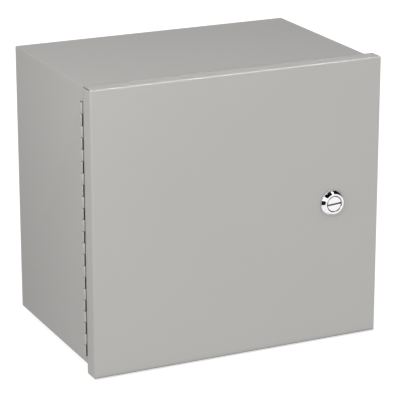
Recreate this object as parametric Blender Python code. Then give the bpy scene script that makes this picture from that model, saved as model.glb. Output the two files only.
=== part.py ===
"""A wall-mounted automatic transfer switch in a hinged sheet-steel box, 12 in high and 13 in wide.

Units are metres, +X is right and +Z is up as seen from the front, and the front faces -Y.
The origin is the centre of the box's back face, which lies on the wall.
The door is closed with its latch's cam turned up, clear of the door seat, so that it can open.
The transfer mechanism rests on the utility side.
"""

import math

import bmesh
import bpy
from mathutils import Matrix, Vector

# Clearances
TOUCH = 0.0003  # between faces that rest on each other
RUNNING = 0.0006  # between a turning piece and its bore
LEAD_GAP = 0.0008  # between a wire's slanted end and what it enters

# Enclosure body
BODY_WIDTH = 0.330
BODY_HEIGHT = 0.3048
BODY_DEPTH = 0.1955
SHEET = 0.0015
LEFT = -BODY_WIDTH / 2
RIGHT = BODY_WIDTH / 2
TOP = BODY_HEIGHT / 2
BOTTOM = -BODY_HEIGHT / 2
LIP_DEPTH = 0.0095  # how far the door seat reaches forward, inside the door
LIP_WIDTH = 0.012
LIP_LEFT = LEFT + 0.004

# Door
DOOR_DEPTH = 0.0189
DOOR_BACK = -(BODY_DEPTH + 0.0006)
DOOR_FRONT = DOOR_BACK - DOOR_DEPTH
DOOR_RIGHT = RIGHT + 0.010
DOOR_BOTTOM = BOTTOM - 0.0108
DOOR_BEND = 0.002
CORNER_SLIT = 0.0007

# Continuous hinge
KNUCKLES = 22
KNUCKLE_PITCH = 0.0127
KNUCKLE_RADIUS = 0.0024
LEAF = 0.001
LEAF_WIDTH = 0.021
HINGE_TOP = TOP - 0.0165
HINGE_LENGTH = KNUCKLES * KNUCKLE_PITCH
HINGE_AXIS = Vector((LEFT + 0.0004, -0.1930, HINGE_TOP - HINGE_LENGTH / 2))
PIN_RADIUS = 0.0011
LEAF_X = (LEFT + SHEET + TOUCH, LEFT + SHEET + TOUCH + LEAF)

# Latch
LATCH_AXIS = Vector((LEFT + 0.2826, DOOR_FRONT, (TOP + DOOR_BOTTOM) / 2))
BEZEL_RADIUS = 0.0145
BEZEL_FACE_RADIUS = 0.0117
BEZEL_HEIGHT = 0.006
BARREL_RADIUS = 0.0092
CORE_RADIUS = 0.0083
CORE_SHAFT_RADIUS = 0.0055
CORE_SQUARE = 0.008
SLOT_WIDTH = 0.0019
SLOT_TILT = math.radians(4)
CAM_LENGTH = 0.0425
CAM_WIDTH = 0.014
CAM_SHEET = 0.002
CAM_FRONT = -(BODY_DEPTH + LIP_DEPTH) + SHEET + TOUCH

# Back panel
PANEL_WIDTH = 0.290
PANEL_HEIGHT = 0.264
PANEL_SHEET = 0.002
PANEL_BACK = -0.013
PANEL_FACE = PANEL_BACK - PANEL_SHEET
ON_PANEL = PANEL_FACE - TOUCH
STUDS = [(x, z) for x in (-0.135, 0.135) for z in (-0.122, 0.122)]
STUD_RADIUS = 0.003
WALL_HOLES = [(x, z) for x in (-0.154, 0.154) for z in (-0.142, 0.142)]

# Transfer mechanism
SHAFT = Vector((0.0, -0.090, 0.010))
SHAFT_RADIUS = 0.005
SHAFT_ENDS = (-0.134, 0.074)
THROW = math.radians(22)  # each way from the middle
POLES = (-0.085, -0.035)
BASE_X = (-0.120, 0.020)
BASE_HALF_HEIGHT = 0.085
BASE_FACE = ON_PANEL - 0.020
ON_BASE = BASE_FACE - TOUCH
PLATE = 0.004
PLATE_FRONT = -0.112
ARM_LENGTH = 0.045
ARM_HUB_RADIUS = 0.012
ARM_HALF_THICKNESS = 0.002
BAR_HALF_WIDTH = 0.007
BAR = 0.003
CHUTE_WALL = 0.002
CHUTE_HALF_WIDTH = 0.012
CHUTE_FRONT = -0.074

# Solenoids
COIL_X = 0.042
COIL_Y = -0.0675
COIL_RADIUS = 0.014
COIL_LENGTH = 0.036
COIL_MIDDLE = 0.054  # from the shaft's height
CRANK = 0.024
CRANK_PIN_RADIUS = 0.003
PLUNGER_RADIUS = 0.004
PLUNGER_LENGTH = 0.0575

# Limit switches
LIMIT_X = (-0.130, -0.1163)
LEVER_PIVOT_Y = -0.062
LEVER_PIVOT_Z = 0.0105  # from the shaft's height
LEVER_LENGTH = 0.020
LEVER_SWING = math.radians(11)

# Controller
CONTROL_X = (0.084, 0.140)
CONTROL_Z = (-0.020, 0.100)
CONTROL_FACE = ON_PANEL - 0.045
KNOB_PLACE = Vector((0.112, 0.0, 0.072))
BUTTON_PLACE = Vector((0.112, 0.0, 0.040))

FINISHES = {  # colour, roughness, metallic
    "grey_enamel": ((0.46, 0.455, 0.44), 0.42, 0.0),
    "dark_steel": ((0.05, 0.05, 0.052), 0.5, 0.9),
    "chrome": ((0.85, 0.85, 0.86), 0.08, 1.0),
    "zinc": ((0.60, 0.61, 0.62), 0.35, 1.0),
    "white_enamel": ((0.80, 0.80, 0.78), 0.4, 0.0),
    "copper": ((0.78, 0.42, 0.26), 0.3, 1.0),
    "brass": ((0.75, 0.60, 0.32), 0.3, 1.0),
    "aluminium": ((0.72, 0.73, 0.74), 0.35, 1.0),
    "brown_moulding": ((0.09, 0.045, 0.03), 0.45, 0.0),
    "black_moulding": ((0.025, 0.025, 0.027), 0.5, 0.0),
    "red_moulding": ((0.55, 0.03, 0.02), 0.35, 0.0),
    "green_moulding": ((0.03, 0.30, 0.08), 0.35, 0.0),
    "ivory_moulding": ((0.70, 0.67, 0.56), 0.45, 0.0),
    "amber_tape": ((0.60, 0.34, 0.06), 0.4, 0.0),
}


def clear_scene():
    for old in list(bpy.data.objects):
        bpy.data.objects.remove(old, do_unlink=True)


def finish(name):
    """The material of that name, made on first use."""
    known = bpy.data.materials.get(name)
    if known:
        return known
    colour, roughness, metallic = FINISHES[name]
    material = bpy.data.materials.new(name)
    material.use_nodes = True
    shader = material.node_tree.nodes["Principled BSDF"]
    shader.inputs["Base Color"].default_value = (*colour, 1.0)
    shader.inputs["Roughness"].default_value = roughness
    shader.inputs["Metallic"].default_value = metallic
    return material


# Shapes: each function returns a bmesh that is one closed body.


def block(x, y, z, bevelled=None, radius=0.0, segments=2):
    """A box over three (low, high) ranges; bevelled picks the edges to round, by their two ends."""
    shape = bmesh.new()
    bmesh.ops.create_cube(shape, size=1.0)
    low = Vector((min(x), min(y), min(z)))
    high = Vector((max(x), max(y), max(z)))
    size = Matrix.Diagonal((*(high - low), 1.0))
    bmesh.ops.transform(shape, matrix=Matrix.Translation((low + high) / 2) @ size, verts=shape.verts)
    if bevelled:
        edges = [edge for edge in shape.edges if bevelled(edge.verts[0].co, edge.verts[1].co)]
        bmesh.ops.bevel(shape, geom=edges, offset=radius, segments=segments, profile=0.5, affect="EDGES")
    return shape


def rod(axis, centre, radius, length, sides=16):
    """A cylinder along an axis, or a prism where sides is small."""
    shape = bmesh.new()
    bmesh.ops.create_cone(
        shape, cap_ends=True, segments=sides, radius1=radius, radius2=radius, depth=length
    )
    return aimed(shape, axis, centre)


def aimed(shape, axis, centre):
    """Turns a shape that was made along +Z to run along +axis, and moves it to its place."""
    turn = Vector((0, 0, 1)).rotation_difference(Vector([float(axis == name) for name in "XYZ"]))
    place = Matrix.Translation(centre) @ turn.to_matrix().to_4x4()
    bmesh.ops.transform(shape, matrix=place, verts=shape.verts)
    return shape


def outline_yz(points, x):
    """A (y, z) outline extruded over a range of x."""
    shape = bmesh.new()
    face = shape.faces.new([shape.verts.new((min(x), y, z)) for y, z in points])
    side = bmesh.ops.extrude_face_region(shape, geom=[face])
    moved = [item for item in side["geom"] if isinstance(item, bmesh.types.BMVert)]
    bmesh.ops.translate(shape, verts=moved, vec=(max(x) - min(x), 0, 0))
    bmesh.ops.recalc_face_normals(shape, faces=shape.faces)
    return shape


def round_ended(radius, reach, y, steps=12):
    """A plate over a range of y with two round ends, one about the Y axis and one that far above it."""
    shape = bmesh.new()
    corners = []
    for height, start in ((reach, 0.0), (0.0, math.pi)):
        for step in range(steps + 1):
            angle = start + math.pi * step / steps
            place = (radius * math.cos(angle), min(y), height + radius * math.sin(angle))
            corners.append(shape.verts.new(place))
    side = bmesh.ops.extrude_face_region(shape, geom=[shape.faces.new(corners)])
    moved = [item for item in side["geom"] if isinstance(item, bmesh.types.BMVert)]
    bmesh.ops.translate(shape, verts=moved, vec=(0, max(y) - min(y), 0))
    bmesh.ops.recalc_face_normals(shape, faces=shape.faces)
    return shape


def turned(profile, centre, sides=32):
    """A closed (radius, height) profile spun about the -Y axis through the centre."""
    shape = bmesh.new()
    corners = [shape.verts.new((radius, -height, 0)) for radius, height in profile]
    ring = [shape.edges.new(pair) for pair in zip(corners, corners[1:] + corners[:1])]
    bmesh.ops.spin(
        shape, geom=corners + ring, cent=(0, 0, 0), axis=(0, 1, 0), angle=math.tau, steps=sides
    )
    bmesh.ops.remove_doubles(shape, verts=shape.verts, dist=1e-6)
    bmesh.ops.recalc_face_normals(shape, faces=shape.faces)
    bmesh.ops.translate(shape, verts=shape.verts, vec=centre)
    return shape


def rotated(shape, axis, angle, about):
    """The shape turned by an angle about an axis through a point."""
    bmesh.ops.rotate(shape, cent=about, matrix=Matrix.Rotation(angle, 3, axis), verts=shape.verts)
    return shape


# Objects


def new_object(name, shape):
    mesh = bpy.data.meshes.new(name)
    shape.to_mesh(mesh)
    shape.free()
    made = bpy.data.objects.new(name, mesh)
    bpy.context.scene.collection.objects.link(made)
    return made


def add_boolean(target, shape, operation):
    """Joins the shape to the target or cuts it away, through a hidden helper that moves with it."""
    helper = new_object(f"{target.name}_{operation.lower()}_{len(target.modifiers)}", shape)
    helper.parent = target
    helper.hide_render = True
    helper.display_type = "WIRE"
    boolean = target.modifiers.new(helper.name, "BOOLEAN")
    boolean.operation = operation
    boolean.solver = "EXACT"
    boolean.object = helper


def solid(name, look, shape, joins=(), cuts=(), carrier=None):
    """One named piece: a shape, joined to others and cut. A carrier's piece is modelled about its axis."""
    made = new_object(name, shape)
    for extra in joins:
        add_boolean(made, extra, "UNION")
    for extra in cuts:
        add_boolean(made, extra, "DIFFERENCE")
    made.data.materials.append(finish(look))
    made.data.shade_smooth()
    made.data.set_sharp_from_angle(angle=math.radians(35))
    made.parent = carrier
    return made


def carrier(name, place, parent=None, tilt=0.0):
    """An empty on a joint's axis, which carries the pieces that move about it."""
    made = bpy.data.objects.new(name, None)
    made.empty_display_size = 0.02
    made.location = place
    made.rotation_euler.x = tilt
    made.parent = parent
    bpy.context.scene.collection.objects.link(made)
    return made


# Enclosure


def runs_along_depth(a, b):
    return abs(a.y - b.y) > 1e-6


def build_body():
    """The open-fronted box, its three-sided door seat, the panel studs and the wall holes."""
    depth = (-BODY_DEPTH, 0.0)
    seat = (-BODY_DEPTH - LIP_DEPTH, -BODY_DEPTH + 0.001)
    seat_front = (seat[0], seat[0] + SHEET)
    seat_top = TOP - SHEET - 0.0013
    outer = block(
        (LEFT, RIGHT), depth, (BOTTOM, TOP), bevelled=runs_along_depth, radius=0.0012, segments=2
    )
    inside = block(
        (LEFT + SHEET, RIGHT - SHEET), (-BODY_DEPTH - 0.01, -SHEET), (BOTTOM + SHEET, TOP - SHEET)
    )
    hinge_notch = block(
        (LEFT - 0.001, LEFT + SHEET + 0.001),
        (-BODY_DEPTH - 0.001, HINGE_AXIS.y + KNUCKLE_RADIUS + 0.0004),
        (HINGE_TOP - HINGE_LENGTH - 0.0005, HINGE_TOP + 0.0005),
    )
    step = block(
        (LIP_LEFT, RIGHT - 0.0005), (-BODY_DEPTH, -BODY_DEPTH + SHEET), (seat_top - SHEET, TOP - 0.0005)
    )
    top_seat = block((LIP_LEFT, RIGHT), seat, (seat_top - SHEET, seat_top))
    right_seat = block((RIGHT - SHEET, RIGHT), seat, (BOTTOM, seat_top))
    bottom_seat = block((LIP_LEFT, RIGHT), seat, (BOTTOM, BOTTOM + SHEET))
    seat_lips = [
        block((LIP_LEFT, RIGHT), seat_front, (seat_top - LIP_WIDTH, seat_top)),
        block((RIGHT - LIP_WIDTH - SHEET, RIGHT), seat_front, (BOTTOM, seat_top)),
        block((LIP_LEFT, RIGHT), seat_front, (BOTTOM, BOTTOM + LIP_WIDTH)),
    ]
    collars = [
        rod("Y", (x, (PANEL_BACK + TOUCH - SHEET / 2) / 2, z), 0.007, -PANEL_BACK - TOUCH - SHEET / 2, 12)
        for x, z in STUDS
    ]
    studs = [rod("Y", (x, -0.014, z), STUD_RADIUS, 0.020, 8) for x, z in STUDS]
    holes = [rod("Y", (x, 0.0, z), 0.004, 0.01, 12) for x, z in WALL_HOLES]
    body = solid("enclosure_body", "grey_enamel", outer, cuts=[inside, hinge_notch])
    for extra in [step, top_seat, right_seat, bottom_seat, *seat_lips, *collars, *studs]:
        add_boolean(body, extra, "UNION")
    for extra in holes:
        add_boolean(body, extra, "DIFFERENCE")


def hinge_piece(name, look, own_knuckles, leaf_y, parent):
    """One leaf of the continuous hinge, with every second knuckle rolled round the pin."""
    leaf = block(LEAF_X, leaf_y, (HINGE_TOP - HINGE_LENGTH, HINGE_TOP))
    edge = min(leaf_y, key=lambda y: abs(y - HINGE_AXIS.y))
    middle = HINGE_AXIS.xy
    knuckles = []
    for index in own_knuckles:
        centre = HINGE_TOP - (index + 0.5) * KNUCKLE_PITCH
        length = KNUCKLE_PITCH - TOUCH
        span = (centre - length / 2, centre + length / 2)
        web_y = (middle.y, edge + math.copysign(0.001, edge - middle.y))
        web_x = (LEAF_X[0] + 0.0001, LEAF_X[1] - 0.0001)
        knuckles.append(block(web_x, web_y, (span[0] + 0.0001, span[1] - 0.0001)))
        knuckles.append(rod("Z", (*middle, centre), KNUCKLE_RADIUS, length, 12))
    bore = rod("Z", (*middle, HINGE_AXIS.z), PIN_RADIUS + 0.0004, HINGE_LENGTH + 0.01, 12)
    made = solid(name, look, leaf, joins=knuckles, cuts=[bore])
    keep_place(made, parent)


def keep_place(made, parent):
    """Parents a piece that was modelled in the object's frame, without moving it."""
    if parent:
        made.parent = parent
        made.matrix_parent_inverse = Matrix.Translation(parent.location).inverted()


def build_hinge(door):
    behind = HINGE_AXIS.y + KNUCKLE_RADIUS + 0.0007
    before = HINGE_AXIS.y - KNUCKLE_RADIUS - 0.0008
    hinge_piece(
        "hinge_leaf_body", "dark_steel", range(1, KNUCKLES, 2), (behind, behind + LEAF_WIDTH), None
    )
    hinge_piece(
        "hinge_leaf_door", "grey_enamel", range(0, KNUCKLES, 2), (DOOR_FRONT + 0.0025, before), door
    )
    solid("hinge_pin", "zinc", rod("Z", HINGE_AXIS, PIN_RADIUS, HINGE_LENGTH + 0.001, 12))


def build_door(door):
    """The pan-shaped door, its flanges open at the four corners, with the latch hole."""

    def on_front(a, b):
        return a.y < DOOR_BACK - 0.001 and b.y < DOOR_BACK - 0.001

    span_x, span_z = (LEFT, DOOR_RIGHT), (DOOR_BOTTOM, TOP)
    outer = block(span_x, (DOOR_FRONT, DOOR_BACK), span_z, bevelled=on_front, radius=DOOR_BEND, segments=3)
    inside = block(
        (LEFT + SHEET, DOOR_RIGHT - SHEET),
        (DOOR_FRONT + SHEET, DOOR_BACK + 0.01),
        (DOOR_BOTTOM + SHEET, TOP - SHEET),
    )
    cuts = [inside]
    for x in span_x:
        for z in span_z:
            middle = (x, (DOOR_FRONT + DOOR_BACK) / 2 + 0.002, z)
            half_depth, half_slit = DOOR_DEPTH / 2, CORNER_SLIT / 2
            slit = block((-0.004, 0.004), (-half_depth, half_depth), (-half_slit, half_slit))
            lean = math.copysign(math.pi / 4, x * z)
            rotated(slit, "Y", -lean, (0, 0, 0))
            bmesh.ops.translate(slit, verts=slit.verts, vec=middle)
            cuts.append(slit)
    cuts.append(rod("Y", LATCH_AXIS, BARREL_RADIUS + 0.0004, 0.01, 24))
    keep_place(solid("door_pan", "grey_enamel", outer, cuts=cuts), door)


def build_latch(door):
    """A quarter-turn cam latch: bezel and nut on the door, and core, cam and screw that turn."""
    back = (DOOR_FRONT - CAM_FRONT) + TOUCH  # the cam's front face, as a height above the door's face
    face = BEZEL_HEIGHT
    bore = CORE_RADIUS + TOUCH + 0.0001
    shaft_bore = CORE_SHAFT_RADIUS + 0.0004
    profile = [
        (shaft_bore, back),
        (BARREL_RADIUS, back),
        (BARREL_RADIUS, TOUCH),
        (BEZEL_RADIUS, TOUCH),
        (BEZEL_RADIUS, 0.0016),
        (BEZEL_RADIUS - 0.0006, 0.0034),
        (BEZEL_FACE_RADIUS + 0.0009, 0.0053),
        (BEZEL_FACE_RADIUS, face),
        (bore + 0.0010, face),
        (bore, face - 0.0007),
        (bore, 0.001),
        (shaft_bore, 0.001),
    ]
    keep_place(solid("latch_bezel", "chrome", turned(profile, LATCH_AXIS)), door)
    inner_face = DOOR_FRONT + SHEET + TOUCH
    nut = rod("Y", (LATCH_AXIS.x, inner_face + 0.002, LATCH_AXIS.z), 0.0138, 0.004, 6)
    nut_bore = rod("Y", LATCH_AXIS, BARREL_RADIUS + 0.0004, 0.03, 24)
    keep_place(solid("latch_nut", "zinc", nut, cuts=[nut_bore]), door)

    turner = carrier("latch_axis", LATCH_AXIS - HINGE_AXIS, parent=door)
    cam_near = CAM_FRONT - LATCH_AXIS.y
    cam_far = cam_near + CAM_SHEET
    core_face = -face + 0.0003
    head_back = -0.001 - TOUCH
    head = rod("Y", (0, (core_face + head_back) / 2, 0), CORE_RADIUS, head_back - core_face, 32)
    shank = rod("Y", (0, (head_back + cam_near - 0.001) / 2, 0), CORE_SHAFT_RADIUS, cam_near - head_back, 16)
    half = CORE_SQUARE / 2
    square = block((-half, half), (cam_near - 0.003, cam_far), (-half, half))
    slot = block((-0.02, 0.02), (-0.02, core_face + 0.0012), (-SLOT_WIDTH / 2, SLOT_WIDTH / 2))
    rotated(slot, "Y", -SLOT_TILT, (0, 0, 0))
    solid("latch_core", "chrome", head, joins=[shank, square], cuts=[slot], carrier=turner)

    plate = round_ended(CAM_WIDTH / 2, CAM_LENGTH - CAM_WIDTH / 2, (cam_near, cam_far))
    hole = half + TOUCH
    square_hole = block((-hole, hole), (cam_near - 0.01, cam_far + 0.01), (-hole, hole))
    solid("latch_cam", "zinc", plate, cuts=[square_hole], carrier=turner)
    screw = rod("Y", (0, cam_far + TOUCH + 0.002, 0), 0.0065, 0.004, 6)
    solid("cam_screw", "zinc", screw, carrier=turner)


def build_panel():
    panel = block(
        (-PANEL_WIDTH / 2, PANEL_WIDTH / 2),
        (PANEL_FACE, PANEL_BACK),
        (-PANEL_HEIGHT / 2, PANEL_HEIGHT / 2),
        bevelled=runs_along_depth,
        radius=0.006,
        segments=3,
    )
    holes = [rod("Y", (x, PANEL_BACK, z), STUD_RADIUS + 0.0005, 0.01, 12) for x, z in STUDS]
    solid("back_panel", "white_enamel", panel, cuts=holes)


# Transfer mechanism. Upper pieces are the utility side, and lower ones mirror them for the generator.


def about_shaft(points, side):
    """(y, z) points given about the shaft, with z turned over for the lower side."""
    placed = [(SHAFT.y + y, SHAFT.z + side * z) for y, z in points]
    return placed if side > 0 else placed[::-1]


def above_shaft(low, high, side):
    """A range of heights above the shaft, or below it for the lower side."""
    return sorted((SHAFT.z + side * low, SHAFT.z + side * high))


def build_switch_frame():
    """The moulded base, the two bearing plates and the crossbar that holds the load bars."""
    heights = (SHAFT.z - BASE_HALF_HEIGHT, SHAFT.z + BASE_HALF_HEIGHT)
    base = block(BASE_X, (BASE_FACE, ON_PANEL), heights, bevelled=runs_along_depth, radius=0.004)
    solid("switch_base", "brown_moulding", base)
    plate_z = (SHAFT.z - 0.046, SHAFT.z + 0.030)
    for name, x in (("side_plate_left", -0.116), ("side_plate_right", 0.012)):
        plate = block((x, x + PLATE), (PLATE_FRONT, ON_BASE), plate_z)
        bearing = rod("X", (x, SHAFT.y, SHAFT.z), SHAFT_RADIUS + RUNNING, 0.03, 20)
        solid(name, "zinc", plate, cuts=[bearing])
    crossbar = block(
        (-0.116 + PLATE + TOUCH, 0.012 - TOUCH),
        (PLATE_FRONT + 0.0033, PLATE_FRONT + 0.0133),
        (-0.034, -0.018),
    )
    solid("load_crossbar", "brown_moulding", crossbar)


def lug(name, x, back, z):
    """A box lug with its wire hole running up and down and its screw hole in front."""
    body = block((x - 0.008, x + 0.008), (back - 0.018, back), z)
    wire = rod("Z", (x, back - 0.0105, sum(z) / 2), 0.0045, 0.06, 12)
    solid(name, "aluminium", body, cuts=[wire])


def fixed_contact(name, x, side):
    """The copper bar from a lug down the base to the pad that the blade meets."""

    def beside_blade(along, off):
        """A point beside the thrown blade: a distance from the shaft, and one off its face."""
        off += ARM_HALF_THICKNESS
        return (
            along * math.cos(THROW) - off * math.sin(THROW),
            along * math.sin(THROW) + off * math.cos(THROW),
        )

    near, far = beside_blade(0.033, 0.00035), beside_blade(ARM_LENGTH + 0.002, 0.00035)
    on_base = ON_BASE - SHAFT.y
    points = [
        (on_base, 0.075),
        (on_base - BAR, 0.075),
        (on_base - BAR, far[1] + 0.008),
        beside_blade(0.033, 0.0045),
        near,
        far,
        (on_base, far[1] + 0.0035),
    ]
    bar = outline_yz(about_shaft(points, side), (x - BAR_HALF_WIDTH, x + BAR_HALF_WIDTH))
    solid(name, "copper", bar)


def load_bar(name, x):
    """The bar that takes the load's current from the arm's hub through two rubbing fingers."""
    strap_y = (PLATE_FRONT, PLATE_FRONT + BAR)
    strap = block((x - BAR_HALF_WIDTH, x + BAR_HALF_WIDTH), strap_y, (-0.036, 0.015))
    bridge = block((x - 0.0104, x + 0.0104), strap_y, (0.005, 0.0149))
    finger_y = (PLATE_FRONT + 0.0001, -0.096)
    fingers = [
        block(sorted((x + side * 0.0084, x + side * 0.0104)), finger_y, (0.0051, 0.0148))
        for side in (-1, 1)
    ]
    solid(name, "copper", strap, joins=[bridge, *fingers])


def arc_chute(name, side):
    """A two-cell hood over one side's fixed contacts, open towards the arms and the base."""
    z_side = above_shaft(0.004, 0.052, side)
    z_front = above_shaft(0.024, 0.052, side)
    z_cap = above_shaft(0.052 - CHUTE_WALL, 0.052, side)
    span = (POLES[0] - CHUTE_HALF_WIDTH, POLES[1] + CHUTE_HALF_WIDTH)
    front = block(span, (CHUTE_FRONT, CHUTE_FRONT + CHUTE_WALL), z_front)
    cap = block(
        (span[0] + 0.0001, span[1] - 0.0001), (CHUTE_FRONT + 0.0001, ON_BASE - BAR - 0.001), z_cap
    )
    set_in = 0.00025  # keeps the walls' faces off the front's and the cap's
    walls = []
    for x in POLES:
        for way in (-1, 1):
            edge = x + way * CHUTE_HALF_WIDTH
            walls.append(
                block(
                    sorted((edge, edge - way * CHUTE_WALL)),
                    (CHUTE_FRONT + set_in, ON_BASE),
                    (z_side[0] + set_in / 2, z_side[1] - set_in / 2),
                )
            )
    solid(name, "ivory_moulding", front, joins=[cap, *walls])


def build_poles():
    """The lugs, bars and contacts of both poles."""
    for number, x in enumerate(POLES, 1):
        for source, side in (("utility", 1), ("generator", -1)):
            fixed_contact(f"{source}_contact_{number}", x, side)
            z = above_shaft(0.055, 0.077, side)
            lug(f"{source}_lug_{number}", x, ON_BASE - BAR - TOUCH, z)
        load_bar(f"load_bar_{number}", x)
        lug(f"load_lug_{number}", x, PLATE_FRONT - TOUCH, (-0.036, -0.014))
    arc_chute("arc_chute_utility", 1)
    arc_chute("arc_chute_generator", -1)


def build_shaft():
    """Everything that turns with the transfer shaft, modelled with its blades level."""
    shaft = carrier("shaft_axis", SHAFT, tilt=THROW)
    middle = sum(SHAFT_ENDS) / 2
    bar = rod("X", (middle, 0, 0), SHAFT_RADIUS, SHAFT_ENDS[1] - SHAFT_ENDS[0])
    solid("transfer_shaft", "zinc", bar, carrier=shaft)

    def bore(x):
        return rod("X", (x, 0, 0), SHAFT_RADIUS + 0.0004, 0.05)

    for number, x in enumerate(POLES, 1):
        hub = rod("X", (x, 0, 0), ARM_HUB_RADIUS, 0.016, 24)
        blade = block((x - 0.006, x + 0.006), (0.008, ARM_LENGTH), (-ARM_HALF_THICKNESS, ARM_HALF_THICKNESS))
        solid(f"contact_arm_{number}", "copper", hub, joins=[blade], cuts=[bore(x)], carrier=shaft)

    crank_x = (0.020, 0.030)
    hub = rod("X", (sum(crank_x) / 2, 0, 0), 0.010, crank_x[1] - crank_x[0], 20)
    web = block((0.021, 0.029), (0.007, CRANK), (-0.004, 0.004))
    pin = rod("X", (0.035, CRANK, 0), CRANK_PIN_RADIUS, 0.026, 12)
    solid("drive_lever", "zinc", hub, joins=[web, pin], cuts=[bore(0.025)], carrier=shaft)

    hub = rod("X", (0.067, 0, 0), 0.010, 0.010, 20)
    web = block((0.064, 0.070), (-0.052, -0.007), (-0.004, 0.004))
    solid("manual_lever", "zinc", hub, joins=[web], cuts=[bore(0.067)], carrier=shaft)
    grip = turned(
        [(0, 0.0523), (0.0055, 0.0523), (0.0085, 0.058), (0.0085, 0.068), (0.006, 0.073), (0, 0.074)],
        (0.067, 0, 0),
        16,
    )
    solid("handle_grip", "red_moulding", grip, carrier=shaft)

    lobe = block((-0.129, -0.123), (0.006, 0.020), (-0.002, 0.002))
    nose = rod("X", (-0.126, 0.020, 0), 0.002, 0.006, 12)
    hub = rod("X", (-0.126, 0, 0), 0.009, 0.008, 20)
    solid("switch_cam", "black_moulding", hub, joins=[lobe, nose], cuts=[bore(-0.126)], carrier=shaft)


def build_solenoid(source, side):
    """A coil in its frame, and the plunger that pushes or pulls the crank pin."""
    middle = SHAFT.z + side * COIL_MIDDLE
    half = COIL_LENGTH / 2
    core = rod("Z", (COIL_X, COIL_Y, middle), PLUNGER_RADIUS + 0.001, 0.2, 16)
    winding = rod("Z", (COIL_X, COIL_Y, middle), COIL_RADIUS, COIL_LENGTH, 24)
    solid(f"{source}_coil", "amber_tape", winding, cuts=[core])

    wide = (COIL_X - 0.016, COIL_X + 0.016)
    deep = (COIL_Y - 0.0155, COIL_Y + 0.0195)
    back = block(wide, (deep[1] - 0.003, deep[1]), (middle - half - 0.004, middle + half + 0.004))
    ends = [
        block(
            (wide[0] + 0.0001, wide[1] - 0.0001),
            (deep[0], deep[1] - 0.0001),
            sorted((middle + end * (half + 0.001), middle + end * (half + 0.0039))),
        )
        for end in (-1, 1)
    ]
    foot = block(
        (COIL_X - 0.008, COIL_X + 0.008),
        (deep[1] - 0.001, ON_PANEL),
        (middle - 0.010, middle + 0.010),
    )
    hole = rod("Z", (COIL_X, COIL_Y, middle - side * (half + 0.0025)), PLUNGER_RADIUS + 0.001, 0.02, 16)
    solid(f"{source}_coil_frame", "zinc", back, joins=[*ends, foot], cuts=[hole])

    crank_pin_z = SHAFT.z + CRANK * math.sin(THROW)
    head_near = crank_pin_z + side * (CRANK_PIN_RADIUS + 0.0005)
    place = Vector((COIL_X, COIL_Y, head_near))
    slide = carrier(f"{source}_plunger_axis", place)
    stem = rod("Z", (0, 0, side * (PLUNGER_LENGTH / 2 + 0.001)), PLUNGER_RADIUS, PLUNGER_LENGTH - 0.002, 16)
    head = rod("Z", (0, 0, side * 0.00175), 0.006, 0.0035, 16)
    solid(f"{source}_plunger", "zinc", stem, joins=[head], carrier=slide)


def build_limit_switch(source, side):
    """A switch block on the left bearing plate, and the lever that the shaft's cam presses."""
    case = block(LIMIT_X, (-0.084, -0.060), above_shaft(0.0130, 0.0250, side))
    ear_z = above_shaft(LEVER_PIVOT_Z - 0.002, 0.0135, side)
    ear_y = (LEVER_PIVOT_Y - 0.0019, LEVER_PIVOT_Y + 0.0019)
    ears = [
        block((LIMIT_X[0] + 0.0001, LIMIT_X[0] + 0.0022), ear_y, ear_z),
        block((LIMIT_X[1] - 0.0022, LIMIT_X[1] - 0.0001), ear_y, ear_z),
    ]
    solid(f"{source}_limit_switch", "black_moulding", case, joins=ears)
    pivot = Vector((sum(LIMIT_X) / 2, LEVER_PIVOT_Y, SHAFT.z + side * LEVER_PIVOT_Z))
    swing = carrier(f"{source}_lever_axis", pivot, tilt=0.0 if side > 0 else -LEVER_SWING)
    strip = block((-0.004, 0.004), (-LEVER_LENGTH, 0.0), (-0.0004, 0.0004))
    eye = rod("X", (0, 0, 0), 0.0016, 0.0081, 10)
    solid(f"{source}_switch_lever", "brass", strip, joins=[eye], carrier=swing)


# Controls and terminals


def build_controller():
    """The control module's housing and cover, its selector knob and its test button."""
    housing = block(CONTROL_X, (CONTROL_FACE, ON_PANEL), CONTROL_Z, bevelled=runs_along_depth, radius=0.003)
    solid("controller_housing", "black_moulding", housing)
    near = CONTROL_FACE - TOUCH
    face = near - 0.012
    cover = block(
        CONTROL_X, (face, near), CONTROL_Z, bevelled=lambda a, b: a.y < near and b.y < near, radius=0.002
    )
    button_well = rod("Y", BUTTON_PLACE, 0.0066, 0.4, 20)
    knob_hole = rod("Y", KNOB_PLACE, 0.0036, 0.4, 16)
    solid("controller_cover", "ivory_moulding", cover, cuts=[button_well, knob_hole])
    knob_axis = carrier("knob_axis", (KNOB_PLACE.x, face, KNOB_PLACE.z))
    skirt_profile = [(0, 0.0005), (0.011, 0.0005), (0.011, 0.003), (0.0095, 0.005), (0, 0.005)]
    skirt = turned(skirt_profile, (0, 0, 0), 24)
    grip = block((-0.003, 0.003), (-0.014, -0.004), (-0.0095, 0.0095))
    spindle = rod("Y", (0, 0.004, 0), 0.003, 0.012, 12)
    solid("mode_knob", "black_moulding", skirt, joins=[grip, spindle], carrier=knob_axis)
    button_axis = carrier("button_axis", (BUTTON_PLACE.x, face, BUTTON_PLACE.z))
    cap = rod("Y", (0, 0.002, 0), 0.006, 0.012, 20)
    solid("test_button", "green_moulding", cap, carrier=button_axis)


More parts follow.
